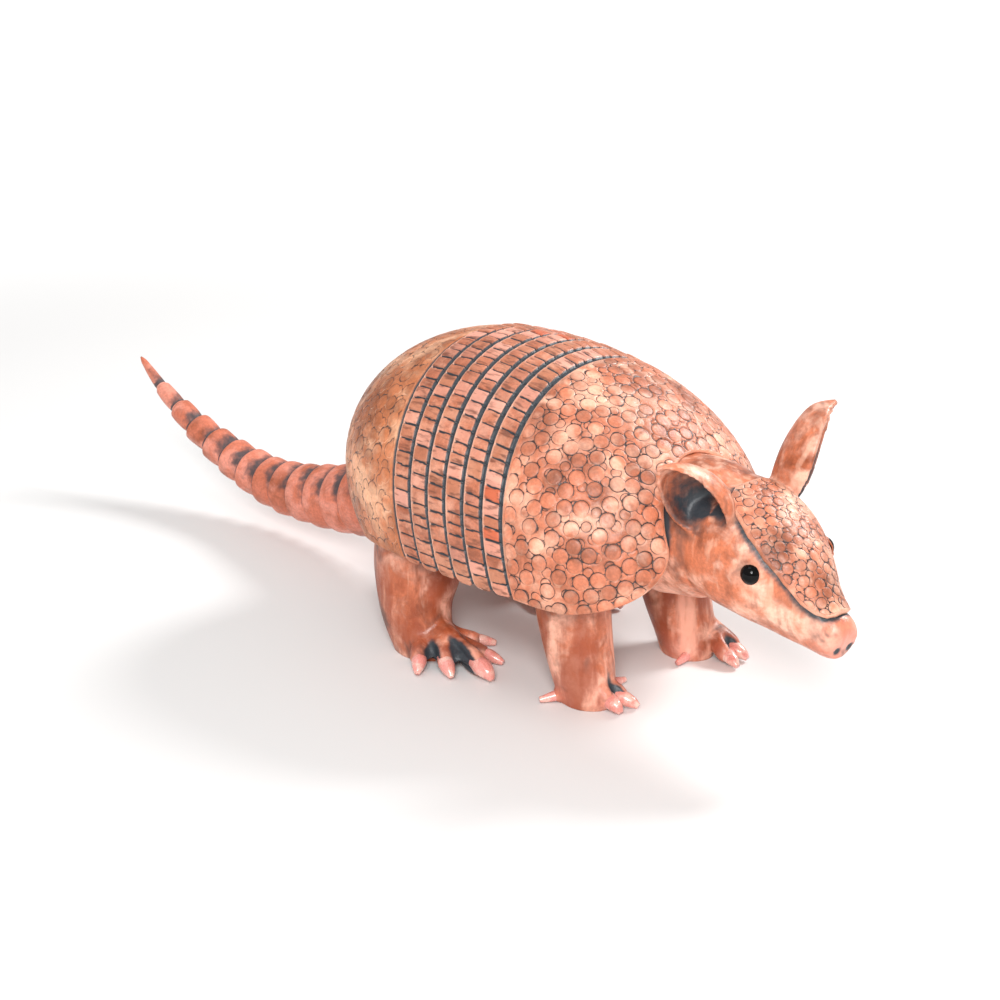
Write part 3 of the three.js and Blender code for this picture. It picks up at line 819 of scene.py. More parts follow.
def dome_points(station, angle, inset):
    """Points of the shell: station -1 at the rump to 1 at the chest, angle from the top."""
    station, angle, inset = np.broadcast_arrays(station, angle, inset)
    length = np.where(station < 0, REAR_LENGTH, FRONT_LENGTH) - inset
    reach = np.minimum(np.abs(station), 1)
    width = (HALF_WIDTH - inset) * np.sqrt(1 - reach**WIDTH_POWER)
    tall = (HEIGHT - inset) * np.sqrt(1 - reach**HEIGHT_POWER)
    y = width * signed_power(np.sin(angle), 2 / HOOP_POWER)
    rise = tall * signed_power(np.cos(angle), 2 / HOOP_POWER)
    return np.stack([MIDDLE_X + station * length + LEAN * rise, y, BELT_Z + rise], -1)


def hem_height(x):
    return np.interp(x, HEM_X, HEM_Z)


def station_of(belt_x, inset=0.0):
    length = (REAR_LENGTH if belt_x < MIDDLE_X else FRONT_LENGTH) - inset
    return (belt_x - MIDDLE_X) / length


def hem_angle(station, inset):
    """The angle at which the shell comes down to its hem at a station."""
    tall = (HEIGHT - inset) * np.sqrt(np.maximum(1 - np.abs(station) ** HEIGHT_POWER, 1e-6))
    x = MIDDLE_X + station * FRONT_LENGTH
    drop = np.clip((BELT_Z - hem_height(x)) / tall, 0, 1)
    return np.pi - np.arccos(drop ** (HOOP_POWER / 2))


def edged_rows(count, length, edge=1.3, both=True):
    """Even steps from 0 to 1 with a few closer ones at the ends, where edges are rounded."""
    near = np.array([0, 0.12, 0.35, 0.7, 1.0]) * edge / length
    middle = np.linspace(near[-1], 1 - near[-1], count)
    ends = 1 - near[:-1][::-1]
    start = near[:-1] if both else np.linspace(0, near[-1], 3)[:-1]
    return np.concatenate([start, middle, ends])


def walked(start, stop, angle_at, inset, limit, rows, samples=700, bunch=1.0):
    """Stations along each line of a plate, evenly stepped up to where its limit stops it."""
    share = np.linspace(0, 1, samples) ** bunch
    station = start + (stop - start) * share[None, :]
    angle = angle_at(station)
    points = dome_points(station, angle, inset)
    margin = limit(points)
    result = np.zeros((len(angle), len(rows)))
    for i, values in enumerate(margin):
        bad = np.flatnonzero(values < 0)
        if len(bad) and bad[0] > 0:
            k = bad[0]
            part = values[k - 1] / (values[k - 1] - values[k])
            line = np.vstack([points[i, :k], points[i, k - 1] + part * (points[i, k] - points[i, k - 1])])
            places = np.append(station[0, :k], station[0, k - 1] + part * (station[0, k] - station[0, k - 1]))
        else:
            line, places = points[i], station[0]
        run = np.append(0, np.cumsum(np.linalg.norm(np.diff(line, axis=0), axis=1)))
        result[i] = np.interp(rows * run[-1], run, places)
    return result


def edge_distance(points, sides=True, start=True):
    """Distance in millimetres from each point of a grid to the nearest edge of the grid."""
    step = np.linalg.norm(np.diff(points, axis=1), axis=2)
    run = np.concatenate([np.zeros((len(points), 1)), np.cumsum(step, 1)], 1)
    distance = run[:, -1:] - run
    if start:
        distance = np.minimum(distance, run)
    if sides:
        step = np.linalg.norm(np.diff(points, axis=0), axis=2)
        run = np.concatenate([np.zeros((1, points.shape[1])), np.cumsum(step, 0)], 0)
        distance = np.minimum(distance, np.minimum(run, run[-1:] - run))
    return distance


def rounding(distance, radius):
    """How far a rounded edge falls away at a distance from that edge."""
    inward = np.clip(1 - distance / radius, 0, 1)
    return radius * (1 - np.sqrt(1 - inward**2))


ARCH_RADIUS = 38  # of the round top of the opening over the neck
ARCH_MIDDLE_Z = 101  # the height at which the round top begins


def arch_half_width(z):
    """Half the width of the opening over the neck, which flares towards its feet."""
    t = np.linspace(0, 1, 40)
    half = (1 - t) ** 2 * 84 + 2 * t * (1 - t) * 42 + t**2 * ARCH_RADIUS
    height = (1 - t) ** 2 * 62 + 2 * t * (1 - t) * 78 + t**2 * ARCH_MIDDLE_Z
    over = np.sqrt(np.maximum(ARCH_RADIUS**2 - np.maximum(z - ARCH_MIDDLE_Z, 0) ** 2, 0))
    top = np.where(z < ARCH_MIDDLE_Z + ARCH_RADIUS, over, -5.0)
    return np.where(z < ARCH_MIDDLE_Z, np.interp(z, height, half), top)


def tail_radius(x):
    from_tip = np.maximum((x - TAIL_TIP_X) / TAIL_SWELL, 0)
    into = eased(np.clip((x - TAIL_RUMP_X) / 64, 0, 1))
    return (TAIL_THIN + TAIL_THICK * np.minimum(from_tip, 1.3) ** 0.78) * (1 - 0.3 * into)


def tail_height(x):
    line = smooth_line(TAIL_LINE, np.linspace(0, 1, 200))
    return np.interp(x, line[:, 0], line[:, 2])


def pelvic_shield():
    front = station_of(FIRST_BAND_X - BAND_GAP / 2)
    above, edge, below = np.linspace(0, 100, 150), np.linspace(100, 118, 62), np.linspace(118, 180, 60)
    around = np.concatenate([above, edge[1:], below[1:]])
    around = np.radians(np.concatenate([-around[::-1], around[1:]]))
    rows = edged_rows(135, 130, both=False)

    def limit(points):
        x, y, z = points[..., 0], points[..., 1], points[..., 2]
        crown = tail_height(x) + tail_radius(x) + 1.2
        hem = hem_height(x)
        over_tail = hem + np.maximum(crown - hem, 0) * np.exp(-((np.abs(y) / 19) ** 4)) * (x < -95)
        return z - over_tail

    angle = around[:, None]
    station = walked(-1.0, front, lambda s: angle + 0 * s, 0.0, limit, rows, bunch=2.0)
    flat = dome_points(station, angle, 0.0)
    distance = edge_distance(flat, sides=False, start=False)
    front_edge = (np.abs(station[:, -1:] - front) < 1e-3) & (np.abs(angle) < math.radians(BAND_REACH + 1))
    trough = eased(np.clip((2.9 - distance) / 0.9, 0, 1) * front_edge)
    outer = dome_points(station, angle, rounding(distance, 1.3) * (1 - front_edge) + 1.5 * trough)
    inner = dome_points(thinned(station, 4, 9), angle[::4], PLATE)
    attributes = {
        "open_face": np.clip((distance - 3.0) / 1.5, 0, 1),
        "edge": np.clip(1 - distance / 1.4, 0, 1) * 0.7 * (1 - front_edge),
        "trough": trough,
    }
    return closed_plate("pelvic_plate", outer, inner, attributes, polar=True)


def shoulder_shield():
    rear = station_of(SHOULDER_X + BAND_GAP / 2, -LAP)
    across = np.linspace(-1, 1, 590)[:, None]
    rows = edged_rows(132, 66)

    def limit(points):
        x, y, z = points[..., 0], points[..., 1], points[..., 2]
        opening = np.abs(y) - arch_half_width(z)
        return np.where(x > 55, opening, 5.0)

    def angle_at(station):
        return across * hem_angle(station, -LAP)

    station = walked(rear, 0.995, angle_at, -LAP, limit, rows)
    angle = angle_at(station)
    flat = dome_points(station, angle, -LAP)
    distance = edge_distance(flat)
    outer = dome_points(station, angle, rounding(distance, 1.4) - LAP)
    inner = dome_points(thinned(station, 3, 9), thinned(angle, 3, 9), PLATE)
    attributes = {
        "open_face": np.clip((distance - 1.2) / 1.2, 0, 1),
        "edge": np.clip(1 - distance / 1.3, 0, 1) * 0.8,
        "trough": np.zeros_like(distance),
    }
    return closed_plate("shoulder_plate", outer, inner, attributes)


def band_plate(number):
    rear_x = FIRST_BAND_X + number * BAND_PITCH + BAND_GAP / 2
    across = edged_rows(20, BAND_PITCH, 1.1)
    v = np.linspace(-1, 1, 520)[:, None]
    reach = math.radians(BAND_REACH)
    end = np.clip((np.abs(v) - 0.965) / 0.035, 0, 1)
    narrow = (1 - end**2.6) ** (1 / 2.6)
    u = 0.5 + (across[None, :] - 0.5) * np.maximum(narrow, 0.12)
    belt_x = rear_x + (BAND_PITCH - BAND_GAP) * u
    side = np.maximum(np.cos(v * reach), 0) ** 0.5
    sink = eased(np.clip((u - (0.84 - 0.1 * side)) / 0.05, 0, 1))
    lift = 0.9 - 0.5 * u - 1.2 * sink
    station = (belt_x - MIDDLE_X) / (np.where(belt_x < MIDDLE_X, REAR_LENGTH, FRONT_LENGTH) + LAP / 2)
    angle = v * reach + 0 * u
    flat = dome_points(station, angle, -lift)
    distance = edge_distance(flat)
    outer = dome_points(station, angle, rounding(distance, 1.0) - lift)
    inner = dome_points(station[:, [0, -1]][::4], angle[:, [0, -1]][::4], PLATE)
    along = np.concatenate([[0], np.cumsum(np.linalg.norm(np.diff(flat[:, 12], axis=0), axis=1))])
    attributes = {
        "open_face": np.clip((distance - 0.1) / 0.8, 0, 1),
        "edge": np.clip(1 - np.abs(across[None, :] * BAND_PITCH - 0.5) / 0.9, 0, 1) * 0.8 * np.ones_like(u),
        "gap": sink,
        "along": along[:, None] * MM * np.ones_like(u),
    }
    return closed_plate(f"band_tiles_{number + 1}", outer, inner, attributes)


MARK_STARTS = 6000  # places tried for a first spread of marks
MARK_CLOSEST = 0.84  # share of the spacing that the first spread keeps clear
MARK_PUSH = 0.22  # share of an overlap that each round takes out


def packed_marks(piece, spacing, seed, rounds=45):
    """Centres spread over a plate's open face as closely as round stamps are set by hand."""
    points = read_values(piece.data.vertices, "co", 3) / MM
    face = read_values(piece.data.attributes["open_face"].data, "value")
    points = points[face > 0.35]
    order = np.random.default_rng(seed).permutation(len(points))
    chosen = np.empty((0, 3))
    for start in points[order][:MARK_STARTS]:
        if not len(chosen) or np.min(np.sum((chosen - start) ** 2, 1)) > (MARK_CLOSEST * spacing) ** 2:
            chosen = np.vstack([chosen, start])
    surface = KDTree(len(points))
    for i, point in enumerate(points):
        surface.insert(point, i)
    surface.balance()
    for _ in range(rounds):
        apart = chosen[:, None] - chosen[None]
        distance = np.linalg.norm(apart, axis=2) + 1e-6
        push = np.clip(spacing - distance, 0, None) * (distance > 1e-3)
        chosen = chosen + MARK_PUSH * np.sum(apart / distance[..., None] * push[..., None], 1)
        chosen = np.array([surface.find(point)[0] for point in chosen])
    mesh = bpy.data.meshes.new(piece.name + "_marks")
    mesh.from_pydata((chosen * MM).tolist(), [], [])
    return bpy.data.objects.new(mesh.name, mesh)


rings_tree = pressed_rings_tree(stamp_layer_tree())
tiles_tree = cut_tiles_tree()


def stamp(piece, marks, large, small, width, depth, lean, seed, material):
    """Presses large and small rings into a plate; marks gives the large ones' spacing and seed."""
    grow(piece, rings_tree, {
        "Large Marks": packed_marks(piece, *marks), "Ring Radius": large * MM,
        "Small Radius": small * MM, "Groove Width": width * MM, "Press Depth": depth * MM,
        "Lean": lean, "Seed": seed, "Material": material,
    })


pelvic = pelvic_shield()
stamp(pelvic, (9.2, 4), 4.6, 3.4, width=0.75, depth=0.36, lean=1.0, seed=5, material=PELVIC)
shoulder = shoulder_shield()
stamp(shoulder, (9.4, 7), 4.45, 3.0, width=0.75, depth=0.7, lean=0.8, seed=8, material=SHIELD)
bands = []
for number in range(BAND_COUNT):
    plate = band_plate(number)
    grow(plate, tiles_tree, {
        "Tile Length": 7.6 * MM, "Cut Width": 0.62 * MM, "Cut Depth": 1.1 * MM,
        "Unevenness": 0.6, "Seed": float(number + 1), "Material": BANDS,
    })
    bands.append(plate)

# ------------------------------------------------------------------ tail


def tail_tube():
    base = TAIL_TIP_X + TAIL_TIP_LENGTH
    near = np.array([0.0, 0.012, 0.03, 0.055])
    one = np.concatenate([near, np.linspace(0.09, 0.985, 28)])
    x = [np.linspace(TAIL_TIP_X, base - 0.25, 34)]
    share = [np.linspace(0.3, 1.0, 34)]
    for ring in range(TAIL_RINGS + 5):
        x.append(base + (ring + one) * TAIL_PITCH)
        share.append(one)
    x, share = np.concatenate(x), np.concatenate(share)
    keep = x < TAIL_ROOT_X
    x, share = x[keep], share[keep]
    fine = smooth_line(TAIL_LINE, np.linspace(0, 1, 1200))
    z = np.interp(x, fine[:, 0], fine[:, 2])
    slope = np.interp(x, fine[:, 0], np.gradient(fine[:, 2], fine[:, 0]))
    tangent = unit(np.stack([np.ones_like(x), 0 * x, slope], -1))
    up = np.stack([-tangent[:, 2], 0 * x, tangent[:, 0]], -1)
    turn = np.linspace(0, 2 * np.pi, 112, endpoint=False)
    spoke = up[:, None] * np.cos(turn)[None, :, None] + np.array([0, 1.0, 0]) * np.sin(turn)[None, :, None]
    radius = tail_radius(x)
    radius[:6] *= np.sqrt(np.linspace(0.12, 1, 6))
    line = np.stack([x, 0 * x, z], -1)
    verts = line[:, None] + spoke * radius[:, None, None]
    index = grid_index(verts)
    faces = grid_quads(closed_round(index))
    flat = np.concatenate([verts.reshape(-1, 3), line[:1], line[-1:]])
    for k in range(len(turn)):
        j = (k + 1) % len(turn)
        faces.append((len(flat) - 2, index[0, j], index[0, k]))
        faces.append((len(flat) - 1, index[-1, k], index[-1, j]))
    fade = np.clip((x - TAIL_TIP_X) / 60, 0.12, 1)

    def spread(values):
        return np.append(np.repeat(values, len(turn)), [values[0], values[-1]])

    upper = np.append(np.tile(np.cos(turn), len(x)), [0, 0])
    attributes = {"ring_share": spread(share), "fade": spread(fade), "upper": upper}
    piece = new_object("tail_collars", flat, faces, attributes, weld=0)
    spokes = np.concatenate([spoke.reshape(-1, 3), np.zeros((2, 3))])
    add_values(piece.data, "spoke", spokes, "FLOAT_VECTOR", "vector")
    return piece


tail = tail_tube()
grow(tail, tail_collars_tree(), {"Rim Height": 3.6 * MM, "Edge Roundness": 0.12, "Material": RINGS})

# ------------------------------------------------------------------ one skin of clay

HEAD_STATIONS = [
    [92, 0, 104, 24, 24], [99, 0, 103, 32, 30], [114, 0, 102, 35.5, 33], [132, -1, 97, 34, 31],
    [150, -2, 89, 26, 27], [167, -2.5, 79.5, 16, 20], [178, -2, 74, 12, 15], [187, -1.5, 70.5, 10.8, 12],
    [191.5, -1.4, 69.0, 8.2, 9.2],
]
NECK_STATIONS = [
    [60, 0, 92, 34, 36], [80, -0.5, 99, 36, 38.5], [98, -1.5, 101.5, 36, 37.3], [112, -3, 100.5, 33, 33],
]
EAR_HALF_THICK = 1.5
EARS = [
    dict(base=(120, -21, 113), tip=(106, -59, 152), opening=(0.35, -0.73, -0.56), length=58, width=15.5,
         shut=2.45, spread=1.15, hook=1.0, back=0.0, outline=[0.4, 0.66, 0.92, 1.0, 0.95, 0.8, 0.5, 0.05]),
    dict(base=(119, 23, 112), tip=(138, 62, 161), opening=(0.84, 0.4, -0.3), length=64, width=21.5,
         shut=2.1, spread=0.9, hook=0.45, back=18.0, outline=[0.36, 0.55, 0.76, 0.92, 1.0, 0.98, 0.78, 0.12]),
]
HIND_LIMB = [
    [-72, -50, 84, 21, 24], [-75, -53, 58, 24, 27], [-73, -56, 36, 22.5, 26],
    [-68, -61, 18, 19, 21], [-58, -62, -6, 15, 17],
]
FORE_LIMB = [
    [30, -42, 84, 19, 20], [34, -43, 58, 20.5, 21], [39, -44, 36, 19, 20],
    [45, -45, 16, 17, 18], [50, -45, -6, 13, 15],
]
HIND_TOES = [((-38, -91), 6.2), ((-21, -81), 6.6), ((-2, -68), 7.6), ((-13, -48), 5.2), ((-34, -32), 4.8)]
FORE_TOES = [((75, -48), 6.6), ((77, -36), 6.0), ((33, -67), 4.2), ((50, -16), 4.0)]
SKIN_VOXEL = 1.48  # fine enough for the toes, coarse enough for one piece of under 200,000 triangles
CLAW_LENGTH = 13
LEGS = [
    dict(name=name, side=side, limb=limb, ankle=ankle, toes=toes, limb_shift=limb_shift, foot_shift=foot_shift)
    for name, limb, ankle, toes, left_limb, left_foot in (
        ("hind", HIND_LIMB, (-63, -60, 16, 14), HIND_TOES, (-9, -6), (-12, -12)),
        ("fore", FORE_LIMB, (48, -45, 13, 11), FORE_TOES, (0, -4), (8, 4)),
    )
    for side, limb_shift, foot_shift in (("right", (0, 0), (0, 0)), ("left", left_limb, left_foot))
]


def on_leg(stations, leg, shift="foot_shift"):
    """Rows given for a right leg, on their own leg's side and in its place."""
    rows = np.array(stations, float)
    if leg["side"] == "left":
        rows[:, 1] *= -1
    rows[:, :2] += leg[shift]
    return rows


def toe_rows(leg, tip, thick):
    """Stations of a toe and of its claw, which leaves the toe near its end, and the way across."""
    ax, ay, az, ar = leg["ankle"]
    tx, ty = tip
    part = CLAW_LENGTH / math.hypot(tx - ax, ty - ay)
    toe_end = 1 - 0.55 * part

    def at(share, z, size):
        return [ax + (tx - ax) * share, ay + (ty - ay) * share, z, size, size]

    toe = [
        at(0, az, ar * 0.75), at(toe_end * 0.45, thick + 4.5, thick * 0.98),
        at(toe_end * 0.8, thick + 0.3, thick * 0.98), at(toe_end, thick * 0.8, thick * 0.62),
    ]
    nail = [
        at(1 - 1.25 * part, thick * 1.05, thick * 0.5), at(1 - 0.75 * part, thick * 0.95, thick * 0.7),
        at(1 - 0.3 * part, thick * 0.7, thick * 0.55), at(1, 2.4, 1.6),
    ]
    across = (ty - ay if leg["side"] == "left" else ay - ty, tx - ax, 0)
    return on_leg(toe, leg), on_leg(nail, leg), across


def ear_axes(ear):
    root = np.array(ear["base"], float)
    axis = unit(np.array(ear["tip"], float) - root)
    facing = np.array(ear["opening"], float)
    facing = unit(facing - axis * facing.dot(axis))
    return root, axis, facing


def ear_section(ear, along):
    """Half the roll, the radius and the setback of the cup, at shares of its length."""
    roll = ear["shut"] + (ear["spread"] - ear["shut"]) * along**0.9
    half = ear["width"] * smooth_line(np.array(ear["outline"])[:, None], along)[..., 0]
    radius = half / np.sin(np.minimum(roll, 1.35))
    gentle = ear["back"] * np.sin(np.pi * np.minimum(0.12 + 0.5 * along, 0.5))
    return roll, radius, ear["hook"] * radius + (1 - ear["hook"]) * gentle


def ear_leaf(ear):
    root, axis, facing = ear_axes(ear)
    across = np.cross(axis, facing)
    along = np.linspace(0, 1, 46)[:, None]
    turn = np.linspace(-0.5, 0.5, 61)[None, :]
    roll, radius, back = ear_section(ear, along)
    angle = 2 * turn * roll
    grids = []
    for side in (-EAR_HALF_THICK, EAR_HALF_THICK):
        reach = np.maximum(radius + side, 0.4)
        spot = root + axis * (along * ear["length"])[..., None] + across * (reach * np.sin(angle))[..., None]
        grids.append(spot - facing * (reach * np.cos(angle) - radius + back)[..., None])
    return grids


def sheet_solid(inner, outer):
    top = grid_index(outer)
    low = top + top.size
    faces = grid_quads(top) + grid_quads(low)
    for a, b in ((top[:, 0], low[:, 0]), (top[:, -1], low[:, -1]), (top[0], low[0]), (top[-1], low[-1])):
        faces += stitch(a, b)
    return np.concatenate([outer.reshape(-1, 3), inner.reshape(-1, 3)]), faces


BELLY_INSET = 4.6  # from the shell's ends, so that the trunk stays inside it
BELLY_FRONT = 108
BELLY_DEPTH = 43


def belly_form():
    """The trunk: a low keel under the shell and a flatter back inside it."""
    station = np.linspace(-1, 1, 61)[:, None]
    angle = np.linspace(0, 2 * np.pi, 72, endpoint=False)[None, :]
    length = np.where(station < 0, REAR_LENGTH - BELLY_INSET, BELLY_FRONT - BELLY_INSET)
    width = (HALF_WIDTH - 5.2) * np.sqrt(1 - np.abs(station) ** WIDTH_POWER)
    tall = BELLY_DEPTH * np.sqrt(1 - np.abs(station) ** 1.7)
    up = signed_power(np.cos(angle), 2 / HOOP_POWER)
    rise = np.where(up > 0, 0.3 * tall * up, tall * up)
    y = width * signed_power(np.sin(angle), 2 / HOOP_POWER)
    x = MIDDLE_X + station * length + LEAN * rise
    grid = np.stack(np.broadcast_arrays(x, y, BELT_Z + rise), -1)
    return grid.reshape(-1, 3), grid_quads(closed_round(grid_index(grid)))


def gathered(forms):
    verts, faces, base = [], [], 0
    for points, polygons in forms:
        verts.append(points)
        faces += [[base + k for k in polygon] for polygon in polygons]
        base += len(points)
    return np.concatenate(verts), faces


def remeshed(piece, voxel):
    modifier = piece.modifiers.new("one_skin", "REMESH")
    modifier.mode = "VOXEL"
    modifier.voxel_size = voxel
    modifier.use_smooth_shade = True
    smooth = piece.modifiers.new("ease", "SMOOTH")
    smooth.factor = 0.5
    smooth.iterations = 5
    return applied(piece)


def skin_forms():
    head = taper(HEAD_STATIONS, (0, 1, 0), sides=64, steps=48, power=2.15)
    forms = [belly_form(), taper(NECK_STATIONS, (0, 1, 0)), (turned_head(head[0]), head[1])]
    for ear in EARS:
        inner, outer = ear_leaf(ear)
        forms.append(sheet_solid(inner, outer))
    for side in EYE_PLACES:
        turn = np.linspace(0, 2 * np.pi, 40, endpoint=False)
        out = unit(np.array([0.25, -0.95 if side == "right" else 0.95, 0.18]))
        a = unit(np.cross(out, (0, 0, 1.0)))
        b = np.cross(out, a)
        small = np.linspace(0, 2 * np.pi, 12, endpoint=False)
        ring = a * np.cos(turn)[:, None] + b * np.sin(turn)[:, None]
        tube = (
            EYE_PLACES[side] + out * LID_OUT + (ring * LID_RADIUS)[:, None]
            + LID_ROLL * (ring[:, None] * np.cos(small)[None, :, None] + out * np.sin(small)[None, :, None])
        )
        wrapped = closed_round(grid_index(tube))
        wrapped = np.concatenate([wrapped, wrapped[:1]], 0)
        forms.append((turned_head(tube.reshape(-1, 3)), grid_quads(wrapped)))
    for leg in LEGS:
        forms.append(taper(on_leg(leg["limb"], leg, "limb_shift"), (0, 1, 0), rounded=False))
        for tip, thick in leg["toes"]:
            toe, _, across = toe_rows(leg, tip, thick)
            forms.append(taper(toe, across, sides=24, steps=24))
    return forms


def path_distance(points, path, reach=16.0):
    """Distance from each point to a smooth path, as far as its reach."""
    line = smooth_line(path, np.linspace(0, 1, 50))
    near = np.flatnonzero(((points > line.min(0) - reach) & (points < line.max(0) + reach)).all(1))
    distance = np.full(len(points), 1e3)
    if len(near):
        distance[near] = np.min(np.linalg.norm(points[near, None] - line[None], axis=2), 1)
    return distance


def fades(distance, width):
    """1 at no distance, falling smoothly towards 0 past a width."""
    return np.exp(-((distance / width) ** 2))


def toe_gaps():
    """Plans of the clefts between neighbouring toes with their ankles, and the toes' own tips."""
    gaps, tips = [], []
    for leg in LEGS:
        ax, ay, _, _ = leg["ankle"]
        ankle = on_leg([[ax, ay, 0]], leg)[0]
        toes = leg["toes"]
        for tip, thick in toes:
            tips.append(on_leg([[tip[0], tip[1], thick * 0.8]], leg)[0])
        pairs = zip(toes[:-1], toes[1:]) if leg["name"] == "hind" else [(toes[0], toes[1])]
        for (a, _), (b, _) in pairs:
            gaps.append((ankle, on_leg([[(a[0] + b[0]) / 2, (a[1] + b[1]) / 2, 0]], leg)[0]))
    return gaps, tips


def head_tree():
    head, quads = taper(HEAD_STATIONS, (0, 1, 0), sides=120, steps=110, power=2.15)
    return BVHTree.FromPolygons([tuple(p) for p in head], [tuple(q) for q in quads])


BROW_LENGTHS = [-37, -33, -24, -10, 4, 18, 30, 38, 43, 45]
BROW_WIDTHS = [9, 16, 20.5, 23, 22.5, 19, 14.5, 11, 8, 4]
BROW_RUN = BROW_LENGTHS[-1] - BROW_LENGTHS[0]
BROW_MIDDLE = np.array([142.0, -1.2, 92.0])
BROW_THICK = 2.3
BROW_SLOPE = math.radians(24)
BROW_AHEAD = np.array([math.cos(BROW_SLOPE), 0, -math.sin(BROW_SLOPE)])
BROW_LIFT = np.array([math.sin(BROW_SLOPE), 0, math.cos(BROW_SLOPE)])


def brow_spot(surface, run, aside):
    """The point of the head under a place in the brow plate's flat plan, and its normal."""
    start = BROW_MIDDLE + [0, aside, 0] + BROW_AHEAD * run + BROW_LIFT * 80
    hit, normal, _, _ = surface.ray_cast(Vector(start), Vector(-BROW_LIFT))
    if hit is None:
        hit, normal, _, _ = surface.find_nearest(Vector(start - BROW_LIFT * 66))
    return np.array(hit), np.array(normal)


def sculpt_skin(points, normals):
    """Presses creases and openings into the skin; returns it with its glaze and blush. The glaze values also
    hold a painted shadow along the shell's opening over the neck.
    """
    groove = np.zeros(len(points))
    blush = np.zeros(len(points))
    lower = np.zeros(len(points))
    gaps, tips = toe_gaps()
    flat = points * [1, 1, 0]
    for ankle, middle in gaps:
        distance = path_distance(flat, np.array([ankle, middle]))
        outward = np.linalg.norm(flat - ankle, axis=1) / np.linalg.norm(middle - ankle)
        cleft = np.clip((outward - 0.46) / 0.22, 0, 1) * (points[:, 2] < 30)
        lower += 3.6 * cleft * fades(distance, 2.6)
        groove = np.maximum(groove, 1.5 * cleft * fades(distance, 1.6 + 1.8 * cleft))
    for tip in tips:
        distance = np.linalg.norm(points - tip, axis=1)
        blush = np.maximum(blush, 0.6 * fades(distance, 13))
    for side in (-1, 1):
        nostril = turned_head(np.array([192.0, NOSE_Y + side * 4.8, 65.2]))
        distance = np.linalg.norm(points - nostril, axis=1)
        lower += 3.2 * fades(distance, 2.0)
        groove = np.maximum(groove, 1.6 * fades(distance, 2.5))
    nose = turned_head(np.array([190.0, NOSE_Y, 69.0]))
    blush = np.maximum(blush, 0.75 * fades(np.linalg.norm(points - nose, axis=1), 13))
    straight = turned_head(points, back=True)
    aside = straight[:, 1] - NOSE_Y
    ahead = straight[:, 0] - 187.0 + 0.05 * aside**2
    bridge = (straight[:, 2] > 70) * (np.abs(aside) < 9.5) * fades(ahead, 1.5)
    lower += 0.8 * bridge
    groove = np.maximum(groove, 1.5 * bridge)
    surface = head_tree()
    for side in (-1, 1):
        rim = [brow_spot(surface, run, side * half)[0] for run, half in zip(BROW_LENGTHS, BROW_WIDTHS)]
        distance = path_distance(points, turned_head(rim))
        groove = np.maximum(groove, 0.6 * fades(distance, 3.0))
    lip = [[188, -9.5, 62.5], [180, -12.5, 62], [170, -15, 63.5], [160, -18.5, 67]]
    for side in (-1, 1):
        path = np.array(lip, float) * [1, -side, 1]
        distance = path_distance(points, turned_head(path))
        lower += 0.45 * fades(distance, 1.3)
        groove = np.maximum(groove, 0.35 * fades(distance, 1.8))
    # Painted shadow: a dark band on the neck along the edge of the shell's opening, with no crease pressed
    # under it.
    neck_opening_shadow = [
        [64, 74, 66], [75, 67, 70], [86, 57, 80], [92, 47, 89],
        [93, 41, 100], [90, 36, 112], [82, 24, 128],
    ]
    for side in (-1, 1):
        path = np.array(neck_opening_shadow, float) * [1, side, 1]
        groove = np.maximum(groove, 0.85 * fades(path_distance(points, path), 5.5))
    return points - normals * lower[:, None], groove, blush


def ear_cup_shade(points):
    """Painted shade inside the cup of each ear, by how deep each point of the skin lies in it: darkest towards
    the root and on the wall away from the opening, eased along one side.
    """
    deep = np.zeros(len(points))
    for ear in EARS:
        root, axis, facing = ear_axes(ear)
        local = points - root
        along = local @ axis / ear["length"]
        roll, radius, back = ear_section(ear, np.clip(along, 0, 1))
        spoke = local - (local @ axis)[:, None] * axis + facing * (back - radius)[:, None]
        out = np.linalg.norm(spoke, axis=1)
        open_way = (spoke @ facing) / np.maximum(out, 1e-3)
        aside = (spoke @ np.cross(axis, facing)) / np.maximum(out, 1e-3)
        within = np.clip((radius + 0.6 - out) / 0.8, 0, 1) * np.clip((along + 0.14) / 0.14, 0, 1)
        within *= (along < 0.97) & ((open_way < np.cos(np.pi - roll) + 0.1) | (along < 0.3))
        # Painted shade: darker towards the cup's root and on the wall away from its opening.
        shade = np.clip(1.25 - 1.25 * along, 0, 1) * np.clip(1.3 - 0.5 * (open_way + 1), 0, 1)
        shade *= 1 - 0.6 * fades(aside - 0.25, 0.35) * (along > 0.12)
        deep = np.maximum(deep, 0.85 * within * shade)
    return deep


verts, faces = gathered(skin_forms())
skin = new_object("clay_body", verts, faces, weld=0)
remeshed(skin, SKIN_VOXEL * MM)
points = (read_values(skin.data.vertices, "co", 3) - SHIFT) / MM
normals = read_values(skin.data.vertices, "normal", 3)
deep = ear_cup_shade(points)
points, groove, blush = sculpt_skin(points, normals)
# The ears' painted shade joins the skin's groove values, which the body finish paints slate.
groove = np.maximum(groove, 0.9 * deep)
points[:, 2] = np.maximum(points[:, 2], 0.0)
skin.data.vertices.foreach_set("co", placed(points).ravel())
add_values(skin.data, "groove", groove)
add_values(skin.data, "blush", blush)
skin.data.update()
skin.data.shade_smooth()
use_finish(skin, BODY)

# ------------------------------------------------------------------ brow plate


